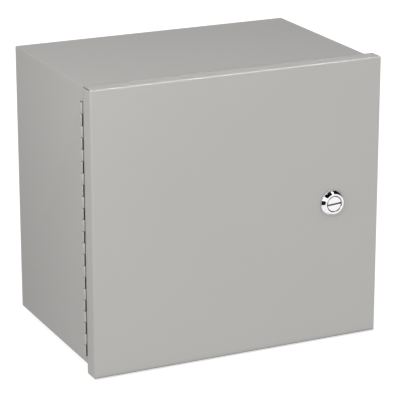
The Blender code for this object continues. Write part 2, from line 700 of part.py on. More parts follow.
def build_terminals():
    """The terminal strip, the plug-in relay, and the neutral and ground bars."""
    strip = block(CONTROL_X, (-0.033, ON_PANEL), (-0.060, -0.040))
    ribs = []
    for index in range(7):
        x = CONTROL_X[0] + 0.0008 + index * 0.0088
        ribs.append(block((x, x + 0.0016), (-0.0365, -0.020), (-0.0599, -0.0401)))
    solid("terminal_strip", "black_moulding", strip, joins=ribs)
    socket = block((0.086, 0.126), (-0.038, ON_PANEL), (-0.118, -0.070))
    solid("relay_socket", "black_moulding", socket)
    relay = block(
        (0.092, 0.120),
        (-0.072, -0.038 - TOUCH),
        (-0.110, -0.078),
        bevelled=lambda a, b: a.y < -0.05 and b.y < -0.05,
        radius=0.002,
    )
    solid("control_relay", "ivory_moulding", relay)
    stand = block((-0.116, -0.040), (-0.033, ON_PANEL), (-0.122, -0.104))
    solid("neutral_insulator", "ivory_moulding", stand)
    bar = block((-0.118, -0.038), (-0.043, -0.033 - TOUCH), (-0.118, -0.108))
    solid("neutral_bar", "aluminium", bar)
    earth = block((-0.020, 0.050), (-0.032, -0.022), (-0.122, -0.112))
    feet = [block((x, x + 0.010), (-0.023, ON_PANEL), (-0.1219, -0.1121)) for x in (-0.019, 0.039)]
    solid("ground_bar", "aluminium", earth, joins=feet)


def lead(name, look, route):
    """An insulated wire: a tube along a smooth curve through its route's points."""
    radius = 0.0012
    steps = 5
    points = [Vector(point) for point in route]
    padded = [2 * points[0] - points[1], *points, 2 * points[-1] - points[-2]]
    smooth = []
    for index in range(len(points) - 1):
        before, start, end, after = padded[index : index + 4]
        for step in range(steps):
            t = step / steps
            smooth.append(
                0.5
                * (
                    2 * start
                    + (end - before) * t
                    + (2 * before - 5 * start + 4 * end - after) * t**2
                    + (3 * start - before - 3 * end + after) * t**3
                )
            )
    smooth.append(points[-1])
    curve = bpy.data.curves.new(name, "CURVE")
    curve.dimensions = "3D"
    curve.bevel_depth = radius
    curve.bevel_resolution = 2
    curve.use_fill_caps = True
    line = curve.splines.new("POLY")
    line.points.add(len(smooth) - 1)
    for slot, point in zip(line.points, smooth):
        slot.co = (*point, 1.0)
    curve.materials.append(finish(look))
    bpy.context.scene.collection.objects.link(bpy.data.objects.new(name, curve))


def build_leads():
    """The control wires from each coil and from the neutral bar to the controls."""
    for source, look, side in (("utility", "black_moulding", 1), ("generator", "red_moulding", -1)):
        height = SHAFT.z + side * COIL_MIDDLE
        arrival = 0.055 if side > 0 else -0.008
        lead(
            f"{source}_coil_lead",
            look,
            [
                (COIL_X + COIL_RADIUS + LEAD_GAP, COIL_Y, height),
                (0.060, COIL_Y, height),
                (0.067, COIL_Y + 0.003, height),
                (0.074, COIL_Y + 0.014, (height + arrival) / 2),
                (0.080, -0.040, arrival),
                (CONTROL_X[0] - LEAD_GAP, -0.040, arrival),
            ],
        )
    lead(
        "neutral_lead",
        "ivory_moulding",
        [
            (-0.038 + LEAD_GAP, -0.038, -0.113),
            (-0.034, -0.038, -0.113),
            (-0.024, -0.039, -0.108),
            (0.010, -0.036, -0.098),
            (0.050, -0.030, -0.078),
            (0.070, -0.026, -0.054),
            (0.080, -0.026, -0.050),
            (CONTROL_X[0] - LEAD_GAP, -0.026, -0.050),
        ],
    )


def main():
    clear_scene()
    door = carrier("door_axis", HINGE_AXIS)
    build_body()
    build_hinge(door)
    build_door(door)
    build_latch(door)
    build_panel()
    build_switch_frame()
    build_poles()
    build_shaft()
    for source, side in (("utility", 1), ("generator", -1)):
        build_solenoid(source, side)
        build_limit_switch(source, side)
    build_controller()
    build_terminals()
    build_leads()


main()
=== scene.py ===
"""A small automatic transfer switch: a grey hinged box with a quarter-turn latch, and the works inside it.

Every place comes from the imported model's own boxes and is in metres. The wall face is at y = 0, the front
faces -Y and +Z is up.
"""

import logging
import math
from dataclasses import dataclass
from enum import Enum
from typing import Callable, ClassVar, Iterable, Sequence, Union

import bmesh
import bpy
from mathutils import Matrix, Vector


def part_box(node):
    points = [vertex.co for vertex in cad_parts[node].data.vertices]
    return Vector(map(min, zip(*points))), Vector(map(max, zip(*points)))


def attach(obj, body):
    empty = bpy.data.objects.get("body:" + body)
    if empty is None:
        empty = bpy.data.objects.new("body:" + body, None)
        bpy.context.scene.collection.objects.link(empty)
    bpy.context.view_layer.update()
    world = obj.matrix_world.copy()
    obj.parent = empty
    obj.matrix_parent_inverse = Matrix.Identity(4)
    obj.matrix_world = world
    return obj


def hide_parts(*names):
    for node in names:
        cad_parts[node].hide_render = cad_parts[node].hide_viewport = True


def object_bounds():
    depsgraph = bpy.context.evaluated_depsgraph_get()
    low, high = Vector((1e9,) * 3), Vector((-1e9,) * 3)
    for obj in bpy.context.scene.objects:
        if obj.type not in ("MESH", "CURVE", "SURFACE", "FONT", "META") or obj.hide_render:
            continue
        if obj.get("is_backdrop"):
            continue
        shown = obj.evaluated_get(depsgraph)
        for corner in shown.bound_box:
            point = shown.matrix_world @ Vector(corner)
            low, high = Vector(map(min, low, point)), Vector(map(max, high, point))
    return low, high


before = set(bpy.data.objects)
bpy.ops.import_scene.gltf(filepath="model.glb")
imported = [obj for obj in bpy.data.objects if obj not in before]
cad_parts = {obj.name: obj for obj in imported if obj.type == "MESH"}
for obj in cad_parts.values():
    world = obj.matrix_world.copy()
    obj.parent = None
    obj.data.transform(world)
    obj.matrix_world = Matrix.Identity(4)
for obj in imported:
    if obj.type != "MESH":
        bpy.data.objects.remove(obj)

LOG = logging.getLogger("transfer_switch")
HAIR = 0.0001  # the gap left between a fitted detail and what it rests on

Colour = tuple[float, float, float]
Point = tuple[float, float, float]
Term = Union["Signal", float, Sequence[float]]


class Axis(Enum):
    """Directions that turned pieces face."""

    FRONT = (0.0, -1.0, 0.0)
    BACK = (0.0, 1.0, 0.0)
    UP = (0.0, 0.0, 1.0)
    DOWN = (0.0, 0.0, -1.0)
    RIGHT = (1.0, 0.0, 0.0)


class Carrier(Enum):
    """The bodies that pieces ride on."""

    ENCLOSURE = "enclosure"
    DOOR = "door"
    LATCH = "latch"
    TRANSFER = "transfer"
    SELECTOR = "selector"
    BUTTON = "push_button"


class Source(Enum):
    """The two supplies, with the side of the shaft each one is on."""

    UTILITY = 1
    GENERATOR = -1

    @property
    def label(self) -> str:
        """The supply's name in lower case."""
        return self.name.lower()


# Shader maths


class Signal:
    """An output socket whose arithmetic adds Math nodes to its tree."""

    def __init__(self, graph: "Graph", socket: bpy.types.NodeSocket) -> None:
        """Keeps the graph and the socket.

        Args:
            graph: The material's graph.
            socket: The output that this signal stands for.
        """
        self.graph = graph
        self.socket = socket

    def _maths(self, operation: str, first: Term, second: Term) -> "Signal":
        """One Math node on two terms."""
        return self.graph.node("ShaderNodeMath", {"operation": operation}, {0: first, 1: second})

    def __add__(self, other: Term) -> "Signal":
        """Sum."""
        return self._maths("ADD", self, other)

    def __radd__(self, other: Term) -> "Signal":
        """Sum, with the number first."""
        return self._maths("ADD", other, self)

    def __sub__(self, other: Term) -> "Signal":
        """Difference."""
        return self._maths("SUBTRACT", self, other)

    def __rsub__(self, other: Term) -> "Signal":
        """Difference, with the number first."""
        return self._maths("SUBTRACT", other, self)

    def __mul__(self, other: Term) -> "Signal":
        """Product."""
        return self._maths("MULTIPLY", self, other)

    def __rmul__(self, other: Term) -> "Signal":
        """Product, with the number first."""
        return self._maths("MULTIPLY", other, self)

    def __truediv__(self, other: Term) -> "Signal":
        """Quotient."""
        return self._maths("DIVIDE", self, other)

    def __rtruediv__(self, other: Term) -> "Signal":
        """Quotient, with the number first."""
        return self._maths("DIVIDE", other, self)

    def __pow__(self, other: Term) -> "Signal":
        """Power."""
        return self._maths("POWER", self, other)

    def below(self, limit: float) -> "Signal":
        """One where the signal is under the limit, and zero elsewhere."""
        return self._maths("LESS_THAN", self, limit)

    def above(self, limit: float) -> "Signal":
        """One where the signal is over the limit, and zero elsewhere."""
        return self._maths("GREATER_THAN", self, limit)


class Graph:
    """The node tree of one material, with its one shader."""

    def __init__(self, name: str) -> None:
        """Makes the material, its shader and its output.

        Args:
            name: The material's name.
        """
        self.material = bpy.data.materials.new(name)
        self.material.use_nodes = True
        self.tree = self.material.node_tree
        self.tree.nodes.clear()
        self.shader = self.tree.nodes.new("ShaderNodeBsdfPrincipled")
        output = self.tree.nodes.new("ShaderNodeOutputMaterial")
        self.tree.links.new(self.shader.outputs["BSDF"], output.inputs["Surface"])

    def node(
        self,
        kind: str,
        settings: dict[str, object] | None = None,
        inputs: dict | None = None,
        output: int | str = 0,
    ) -> Signal:
        """Adds a node, sets it up and feeds it.

        Args:
            kind: The node's Blender type.
            settings: Its own settings, which are set before its sockets.
            inputs: Values or signals by socket name or number.
            output: The output to hand back.

        Returns:
            The chosen output as a signal.
        """
        made = self.tree.nodes.new(kind)
        for key, value in (settings or {}).items():
            setattr(made, key, value)
        for key, value in (inputs or {}).items():
            self.feed(made.inputs[key], value)
        return Signal(self, made.outputs[output])

    def feed(self, socket: bpy.types.NodeSocket, value: Term) -> None:
        """Links a signal to a socket, or sets its value.

        Args:
            socket: The input to feed.
            value: A signal, a number, or a colour or vector.
        """
        if isinstance(value, Signal):
            self.tree.links.new(value.socket, socket)
        elif isinstance(value, (int, float)):
            socket.default_value = value
        else:
            socket.default_value = (*value, 1.0) if socket.type == "RGBA" else tuple(value)

    def set(self, **values: Term) -> None:
        """Feeds the shader's sockets, named with underscores for spaces."""
        for key, value in values.items():
            self.feed(self.shader.inputs[key.replace("_", " ")], value)

    def place(self, stretch: Point = (1.0, 1.0, 1.0), centre: Point = (0.0, 0.0, 0.0)) -> Signal:
        """Object coordinates about a centre, stretched.

        Args:
            stretch: The scale along each axis.
            centre: The point that becomes zero.

        Returns:
            The vector signal.
        """
        start = tuple(-middle * scale for middle, scale in zip(centre, stretch))
        return self.node(
            "ShaderNodeMapping",
            {"vector_type": "POINT"},
            {"Vector": self.node("ShaderNodeTexCoord", output="Object"), "Scale": stretch, "Location": start},
        )

    def noise(self, scale: float, detail: float = 2.0, stretch: Point = (1.0, 1.0, 1.0)) -> Signal:
        """Smooth noise from zero to one.

        Args:
            scale: Features per metre.
            detail: Octaves.
            stretch: The scale along each axis.

        Returns:
            The noise's value.
        """
        return self.node(
            "ShaderNodeTexNoise", None, {"Vector": self.place(stretch), "Scale": scale, "Detail": detail}
        )

    def part(self, vector: Signal, axis: str) -> Signal:
        """One component of a vector."""
        return self.node("ShaderNodeSeparateXYZ", None, {0: vector}, axis)

    def mix(self, factor: Term, first: Term, second: Term) -> Signal:
        """A colour between two others.

        Args:
            factor: Zero for the first colour and one for the second.
            first: The first colour.
            second: The second colour.

        Returns:
            The mixed colour.
        """
        return self.node("ShaderNodeMix", {"data_type": "RGBA"}, {0: factor, 6: first, 7: second}, 2)

    def relief(self, height: Term, depth: float, strength: float = 1.0) -> None:
        """Bumps the surface by a height signal of that depth in metres.

        Args:
            height: The height signal.
            depth: How far a height of one stands out.
            strength: How much of the bump shows.
        """
        bump = self.node(
            "ShaderNodeBump", None, {"Height": height, "Distance": depth, "Strength": strength}
        )
        self.set(Normal=bump)


def shade(colour: Colour, share: float) -> Colour:
    """A colour made lighter or darker by a factor."""
    return tuple(min(1.0, channel * share) for channel in colour)


# Finishes


@dataclass(frozen=True)
class Finish:
    """A surface finish, made into one material on first use."""

    name: str
    slot: str
    colour: Colour
    roughness: float = 0.45
    metallic: float = 0.0
    coat: float = 0.0
    made: ClassVar[dict[str, bpy.types.Material]] = {}

    def material(self) -> bpy.types.Material:
        """The finish's material.

        Returns:
            The material, the same one each time.
        """
        if self.name not in self.made:
            graph = Graph(self.name)
            graph.set(Metallic=self.metallic, Coat_Weight=self.coat, Coat_Roughness=0.12)
            self.pattern(graph)
            self.made[self.name] = graph.material
        return self.made[self.name]

    def pattern(self, graph: Graph) -> None:
        """Draws the finish's colour, roughness and relief: a faint cloudiness unless a finish says more.

        Args:
            graph: The material's node tree.
        """
        cloud = graph.noise(40.0)
        graph.set(
            Base_Color=graph.mix(cloud, shade(self.colour, 0.93), shade(self.colour, 1.06)),
            Roughness=self.roughness + 0.1 * (cloud - 0.5),
        )


@dataclass(frozen=True)
class PowderCoat(Finish):
    """Baked powder paint with a fine orange peel and a slight cloudiness."""

    peel: float = 0.000012
    cloudiness: float = 0.02

    def pattern(self, graph: Graph) -> None:
        """Cloudy colour, uneven satin and the peel.

        Args:
            graph: The material's node tree.
        """
        cloud = graph.noise(9.0, 3.0)
        peel = graph.noise(420.0, 2.0)
        specks = graph.noise(1500.0, 1.0).above(0.71)
        low, high = shade(self.colour, 1 - self.cloudiness), shade(self.colour, 1 + self.cloudiness)
        paint = graph.mix(cloud, low, high)
        graph.set(
            Base_Color=graph.mix(specks * 0.12, paint, shade(self.colour, 1.25)),
            Roughness=self.roughness + 0.10 * (cloud - 0.5) + 0.08 * (peel - 0.5),
        )
        graph.relief(peel, self.peel)


@dataclass(frozen=True)
class PlatedSteel(Finish):
    """Bright zinc over steel, with soft spangle and a hint of passivation colour."""

    tint: Colour = (0.66, 0.63, 0.52)

    def pattern(self, graph: Graph) -> None:
        """Spangle in the colour and gloss, and fine rolling marks.

        Args:
            graph: The material's node tree.
        """
        spangle = graph.node(
            "ShaderNodeTexVoronoi", {"feature": "F1"}, {"Vector": graph.place(), "Scale": 260.0}, "Distance"
        )
        cloud = graph.noise(55.0, 3.0)
        rolled = graph.noise(500.0, 2.0, (0.06, 1.0, 1.0))
        graph.set(
            Base_Color=graph.mix(cloud * 0.55, shade(self.colour, 1.04), self.tint),
            Roughness=self.roughness + 0.16 * (spangle - 0.4) + 0.10 * (cloud - 0.5),
        )
        graph.relief(rolled, 0.000006)


@dataclass(frozen=True)
class DarkPhosphate(Finish):
    """Oiled black phosphate on steel, worn a little grey."""

    worn: Colour = (0.16, 0.16, 0.165)

    def pattern(self, graph: Graph) -> None:
        """Fine crystals and rubbed patches.

        Args:
            graph: The material's node tree.
        """
        grain = graph.noise(1400.0, 3.0)
        rub = graph.noise(70.0, 4.0) ** 3.0
        graph.set(
            Base_Color=graph.mix(rub * 0.8, self.colour, self.worn),
            Roughness=self.roughness + 0.18 * (grain - 0.5) - 0.12 * rub,
        )
        graph.relief(grain, 0.000008)


@dataclass(frozen=True)
class Chrome(Finish):
    """Bright nickel and chrome plate with a trace of polishing haze."""

    haze: float = 0.05

    def pattern(self, graph: Graph) -> None:
        """Haze in the gloss and the faintest ripple from the die casting.

        Args:
            graph: The material's node tree.
        """
        haze = graph.noise(240.0, 3.0)
        ripple = graph.noise(160.0, 1.0)
        graph.set(
            Base_Color=graph.mix(haze, shade(self.colour, 0.97), self.colour),
            Roughness=self.roughness + self.haze * (haze - 0.4),
        )
        graph.relief(ripple, 0.000004)


@dataclass(frozen=True)
class DrawnMetal(Finish):
    """Drawn or extruded metal, streaked along one axis and tarnished in patches."""

    tarnish: Colour = (0.3, 0.2, 0.15)
    along: Point = (0.08, 1.0, 1.0)
    tarnished: float = 0.3

    def pattern(self, graph: Graph) -> None:
        """Draw lines and tarnish.

        Args:
            graph: The material's node tree.
        """
        lines = graph.noise(900.0, 2.0, self.along)
        patch = graph.noise(65.0, 4.0) ** 2.0
        metal = graph.mix(lines, shade(self.colour, 0.9), shade(self.colour, 1.05))
        graph.set(
            Base_Color=graph.mix(patch * self.tarnished, metal, self.tarnish),
            Roughness=self.roughness + 0.18 * (lines - 0.5) + 0.2 * patch,
        )
        graph.relief(lines, 0.00001)


@dataclass(frozen=True)
class Moulding(Finish):
    """Moulded plastic with a spark-eroded grain and slight flow marks."""

    grain: float = 0.000014
    flow: Colour | None = None

    def pattern(self, graph: Graph) -> None:
        """Flow marks in the colour, and the grain in gloss and relief.

        Args:
            graph: The material's node tree.
        """
        grain = graph.noise(1100.0, 2.0)
        flow = graph.noise(30.0, 4.0, (1.0, 1.0, 0.35))
        other = self.flow or shade(self.colour, 1.22)
        graph.set(
            Base_Color=graph.mix(flow, shade(self.colour, 0.88), other),
            Roughness=self.roughness + 0.14 * (grain - 0.5) + 0.08 * (flow - 0.5),
        )
        graph.relief(grain, self.grain)


@dataclass(frozen=True)
class WoundTape(Finish):
    """Varnished tape wound round a coil, each turn lapping the last."""

    pitch: float = 0.0045
    edge: Colour = (0.32, 0.16, 0.03)

    def pattern(self, graph: Graph) -> None:
        """Laps along the coil's axis, with darker varnish at each edge.

        Args:
            graph: The material's node tree.
        """
        height = graph.part(graph.place(), "Z") / self.pitch
        lap = graph.node("ShaderNodeMath", {"operation": "FRACT"}, {0: height + 0.15 * graph.noise(60.0)})
        fibre = graph.noise(1300.0, 2.0, (1.0, 1.0, 4.0))
        tape = graph.mix(fibre, shade(self.colour, 0.85), shade(self.colour, 1.15))
        graph.set(
            Base_Color=graph.mix(lap.below(0.12), tape, self.edge),
            Roughness=self.roughness + 0.2 * (fibre - 0.5) + 0.12 * lap,
        )
        graph.relief(lap + 0.15 * fibre, 0.00022)


@dataclass(frozen=True)
class Lens(Finish):
    """A clear-bodied indicator lens with a faint glow and prismatic ribs."""

    glow: float = 0.05

    def pattern(self, graph: Graph) -> None:
        """Ribs across the lens.

        Args:
            graph: The material's node tree.
        """
        across = graph.part(graph.place(), "X")
        rib = graph.node("ShaderNodeMath", {"operation": "SINE"}, {0: across * (math.tau / 0.0008)})
        ribs = 0.5 * rib + 0.5
        tint = graph.mix(ribs, shade(self.colour, 0.75), shade(self.colour, 1.2))
        graph.set(Base_Color=tint, Roughness=self.roughness + 0.05 * ribs)
        graph.set(Emission_Color=tint, Emission_Strength=self.glow)
        graph.relief(ribs, 0.00008)


@dataclass(frozen=True)
class BlankPlate(Finish):
    """A satin label without lettering: a plain field with a thin border line."""

    centre: Point = (0.0, 0.0, 0.0)
    half_width: float = 0.02
    half_height: float = 0.014
    line: Colour = (0.12, 0.13, 0.14)
    border: float = 0.0009

    def pattern(self, graph: Graph) -> None:
        """Brushed field and a frame line a little inside the edge.

        Args:
            graph: The material's node tree.
        """
        spot = graph.place(centre=self.centre)
        reach = []
        for axis, half in (("X", self.half_width), ("Z", self.half_height)):
            distance = graph.node("ShaderNodeMath", {"operation": "ABSOLUTE"}, {0: graph.part(spot, axis)})
            reach.append(distance - (half - 3 * self.border))
        outer = graph.node("ShaderNodeMath", {"operation": "MAXIMUM"}, {0: reach[0], 1: reach[1]})
        ring = outer.above(0.0) * outer.below(self.border)
        brushed = graph.noise(700.0, 2.0, (0.05, 1.0, 1.0))
        field = graph.mix(brushed, shade(self.colour, 0.94), shade(self.colour, 1.04))
        graph.set(
            Base_Color=graph.mix(ring, field, self.line),
            Roughness=self.roughness + 0.15 * (brushed - 0.5),
        )
        graph.relief(brushed, 0.000006)


@dataclass(frozen=True)
class Foam(Finish):
    """Closed-cell neoprene foam."""

    cell: float = 900.0

    def pattern(self, graph: Graph) -> None:
        """Small cells in the surface.

        Args:
            graph: The material's node tree.
        """
        sockets = {"Vector": graph.place(), "Scale": self.cell}
        cells = graph.node("ShaderNodeTexVoronoi", {"feature": "F1"}, sockets, "Distance")
        graph.set(
            Base_Color=graph.mix(cells, shade(self.colour, 0.6), shade(self.colour, 1.5)),
            Roughness=self.roughness + 0.1 * cells,
        )
        graph.relief(cells, 0.00012)


GREY_PAINT = PowderCoat("box grey powder coat", "grey_enamel", (0.452, 0.443, 0.428), 0.40)
WHITE_PAINT = PowderCoat("panel white enamel", "white_enamel", (0.78, 0.78, 0.76), 0.36, cloudiness=0.015)
PHOSPHATE = DarkPhosphate("hinge black phosphate", "dark_steel", (0.018, 0.018, 0.019), 0.48, 0.6)
ZINC = PlatedSteel("bright zinc plate", "zinc", (0.64, 0.65, 0.67), 0.32, 1.0)
CHROME = Chrome("latch chrome", "chrome", (0.90, 0.90, 0.91), 0.06, 1.0)
# A dark plated finish for the latch's screwdriver slot: painted shade in the slot's recess.
SLOT_PAINTED_SHADE = PlatedSteel("die-cast crevice", "chrome", (0.16, 0.16, 0.165), 0.42, 1.0, tint=(0.10, 0.10, 0.10))
COPPER = DrawnMetal("copper bar", "copper", (0.80, 0.43, 0.27), 0.30, 1.0, along=(1.0, 1.0, 0.08))
TINNED = DrawnMetal(
    "tinned aluminium", "aluminium", (0.76, 0.77, 0.78), 0.34, 1.0, tarnish=(0.45, 0.46, 0.48)
)
BRASS = DrawnMetal("lever brass", "brass", (0.76, 0.60, 0.30), 0.30, 1.0, tarnish=(0.35, 0.24, 0.1))
PHENOLIC = Moulding(
    "brown phenolic", "brown_moulding", (0.075, 0.036, 0.024), 0.38, flow=(0.15, 0.075, 0.045)
)
BLACK_PLASTIC = Moulding("black moulding", "black_moulding", (0.022, 0.022, 0.024), 0.44)
IVORY_PLASTIC = Moulding(
    "ivory moulding", "ivory_moulding", (0.66, 0.63, 0.52), 0.40, flow=(0.74, 0.71, 0.60)
)
RED_PLASTIC = Moulding("red grip", "red_moulding", (0.52, 0.028, 0.02), 0.30, coat=0.3)
GREEN_PLASTIC = Moulding("green button", "green_moulding", (0.03, 0.28, 0.075), 0.30, coat=0.3)
TAPE = WoundTape("coil tape", "amber_tape", (0.60, 0.35, 0.07), 0.34, coat=0.35)
NYLON = Moulding("bobbin nylon", "ivory_moulding", (0.72, 0.70, 0.62), 0.36)
RED_LENS = Lens("red lens", "red_moulding", (0.62, 0.03, 0.02), 0.14, coat=0.6)
AMBER_LENS = Lens("amber lens", "amber_tape", (0.72, 0.34, 0.02), 0.14, coat=0.6)
GREEN_LENS = Lens("green lens", "green_moulding", (0.04, 0.5, 0.12), 0.14, coat=0.6)
RUBBER = Foam("seal foam", "black_moulding", (0.02, 0.02, 0.021), 0.8)


# Shapes


class Shape:
    """A bmesh with the steps that this object's pieces are made by. Each step hands back the shape."""

    def __init__(self) -> None:
        """Starts empty."""
        self.mesh = bmesh.new()

    @classmethod
    def block(cls, low: Sequence[float], high: Sequence[float]) -> "Shape":
        """A box between two corners.

        Args:
            low: One corner.
            high: The other corner.

        Returns:
            The box.
        """
        made = cls()
        least = Vector(map(min, low, high))
        most = Vector(map(max, low, high))
        bmesh.ops.create_cube(made.mesh, size=1.0)
        matrix = Matrix.Translation((least + most) / 2) @ Matrix.Diagonal((*(most - least), 1.0))
        bmesh.ops.transform(made.mesh, matrix=matrix, verts=made.mesh.verts)
        return made

    @classmethod
    def rod(
        cls, centre: Sequence[float], axis: Axis, radius: float, length: float, sides: int = 32
    ) -> "Shape":
        """A cylinder, or a prism where there are few sides.

        Args:
            centre: Its middle.
            axis: The way it runs.
            radius: Its radius, to the corners.
            length: Its length.
            sides: How many sides it has.

        Returns:
            The cylinder.
        """
        made = cls()
        bmesh.ops.create_cone(
            made.mesh, cap_ends=True, segments=sides, radius1=radius, radius2=radius, depth=length
        )
        return made.aim(axis).move(centre)

    @classmethod
    def spun(
        cls, profile: Sequence[tuple[float, float]], axis: Axis, place: Sequence[float], sides: int = 64
    ) -> "Shape":
        """A closed (radius, height) profile spun about an axis.

        Args:
            profile: The profile's corners, in order.
            axis: The way that heights grow.
            place: The point at height zero.
            sides: Steps round the axis.

        Returns:
            The turned shape, closed and with its faces outwards.
        """
        made = cls()
        corners = [made.mesh.verts.new((radius, 0.0, height)) for radius, height in profile]
        pairs = [pair for pair in zip(corners, corners[1:] + corners[:1])]
        edges = [made.mesh.edges.new((a, b)) for a, b in pairs if a.co.x > 1e-7 or b.co.x > 1e-7]
        bmesh.ops.spin(
            made.mesh,
            geom=corners + edges,
            cent=(0, 0, 0),
            axis=(0, 0, 1),
            angle=math.tau,
            steps=sides,
            use_merge=True,
        )
        return made.sealed().aim(axis).move(place)

    @classmethod
    def rolled(cls, outline: Sequence[tuple[float, float]], x: tuple[float, float]) -> "Shape":
        """A (y, z) outline extruded over a range of x.

        Args:
            outline: The outline's corners, in order.
            x: The range.

        Returns:
            The extruded shape.
        """
        made = cls()
        face = made.mesh.faces.new([made.mesh.verts.new((min(x), y, z)) for y, z in outline])
        far = bmesh.ops.extrude_face_region(made.mesh, geom=[face])["geom"]
        moved = [item for item in far if isinstance(item, bmesh.types.BMVert)]
        bmesh.ops.translate(made.mesh, verts=moved, vec=(max(x) - min(x), 0, 0))
        return made.sealed()

    def sealed(self, distance: float = 1e-6) -> "Shape":
        """Merges doubles and turns the faces outwards.

        Args:
            distance: How near two corners have to be to merge.

        Returns:
            The shape itself.
        """
        bmesh.ops.remove_doubles(self.mesh, verts=self.mesh.verts, dist=distance)
        bmesh.ops.recalc_face_normals(self.mesh, faces=self.mesh.faces)
        return self

    def aim(self, axis: Axis) -> "Shape":
        """Turns a shape made along +Z to run along an axis.

        Args:
            axis: The axis to run along.

        Returns:
            The shape itself.
        """
        turn = Vector((0, 0, 1)).rotation_difference(Vector(axis.value)).to_matrix().to_4x4()
        bmesh.ops.transform(self.mesh, matrix=turn, verts=self.mesh.verts)
        return self

    def move(self, by: Sequence[float]) -> "Shape":
        """Moves the whole shape."""
        bmesh.ops.translate(self.mesh, verts=self.mesh.verts, vec=Vector(by))
        return self

    def turn(self, angle: float, axis: Axis, about: Sequence[float]) -> "Shape":
        """Turns the whole shape about an axis through a point.

        Args:
            angle: The angle in radians.
            axis: The axis.
            about: A point on the axis.

        Returns:
            The shape itself.
        """
        matrix = Matrix.Rotation(angle, 3, Vector(axis.value))
        bmesh.ops.rotate(self.mesh, cent=Vector(about), matrix=matrix, verts=self.mesh.verts)
        return self

    def bevel(
        self, width: float, segments: int = 3, pick: Callable[[Vector, Vector], bool] | None = None
    ) -> "Shape":
        """Rounds edges.

        Args:
            width: The bevel's width.
            segments: Its steps.
            pick: Says from an edge's two ends whether to round it; all edges where it's left out.

        Returns:
            The shape.
        """
        edges = [
            edge
            for edge in self.mesh.edges
            if (pick is None and edge.calc_face_angle(0.0) > 0.6)
            or (pick is not None and pick(edge.verts[0].co, edge.verts[1].co))
        ]
        bmesh.ops.bevel(
            self.mesh,
            geom=edges,
            offset=width,
            segments=segments,
            profile=0.5,
            affect="EDGES",
            material=-1,
            clamp_overlap=True,
        )
        return self

    def open_towards(self, axis: Axis) -> "Shape":
        """Takes away the faces that look along an axis.

        Args:
            axis: The axis.

        Returns:
            The shape itself, open on that side.
        """
        facing = [face for face in self.mesh.faces if face.normal.dot(Vector(axis.value)) > 0.999]
        bmesh.ops.delete(self.mesh, geom=facing, context="FACES")
        return self

    def wall(self, thickness: float) -> "Shape":
        """Gives an open shell a wall, inwards.

        Args:
            thickness: The wall's thickness.

        Returns:
            The shape itself, closed.
        """
        bmesh.ops.recalc_face_normals(self.mesh, faces=self.mesh.faces)
        bmesh.ops.solidify(self.mesh, geom=self.mesh.faces, thickness=thickness)
        return self.sealed()

    def join(self, *others: "Shape") -> "Shape":
        """Adds other shapes to this one.

        Args:
            others: Shapes that are used up.

        Returns:
            The shape itself.
        """
        for other in others:
            carried = bpy.data.meshes.new("joined")
            other.mesh.to_mesh(carried)
            self.mesh.from_mesh(carried)
            bpy.data.meshes.remove(carried)
            other.mesh.free()
        return self

    def repeated(self, places: Iterable[Sequence[float]]) -> "Shape":
        """Copies of this shape, each moved by one place.

        Args:
            places: How far each copy moves.

        Returns:
            All the copies as one shape.
        """
        made = Shape()
        carried = bpy.data.meshes.new("repeated")
        self.mesh.to_mesh(carried)
        for place in places:
            before = set(made.mesh.verts)
            made.mesh.from_mesh(carried)
            new = [vert for vert in made.mesh.verts if vert not in before]
            bmesh.ops.translate(made.mesh, verts=new, vec=Vector(place))
        bpy.data.meshes.remove(carried)
        self.mesh.free()
        return made

    def cut(self, *cutters: "Shape") -> "Shape":
        """Cuts other shapes away.

        Args:
            cutters: The shapes to take away.

        Returns:
            What is left.
        """
        target = self.as_object("cut_target")
        tools = [cutter.as_object("cutter") for cutter in cutters]
        for tool in tools:
            modifier = target.modifiers.new("cut", "BOOLEAN")
            modifier.operation = "DIFFERENCE"
            modifier.solver = "EXACT"
            modifier.object = tool
        graph = bpy.context.evaluated_depsgraph_get()
        result = bpy.data.meshes.new_from_object(target.evaluated_get(graph))
        for temporary in (target, *tools):
            data = temporary.data
            bpy.data.objects.remove(temporary)
            bpy.data.meshes.remove(data)
        self.mesh = bmesh.new()
        self.mesh.from_mesh(result)
        bpy.data.meshes.remove(result)
        return self

    def as_object(self, name: str) -> bpy.types.Object:
        """Makes an object of the shape, and ends the shape.

        Args:
            name: The object's name.

        Returns:
            The object, at the origin.
        """
        data = bpy.data.meshes.new(name)
        self.mesh.to_mesh(data)
        self.mesh.free()
        made = bpy.data.objects.new(name, data)
        bpy.context.scene.collection.objects.link(made)
        return made


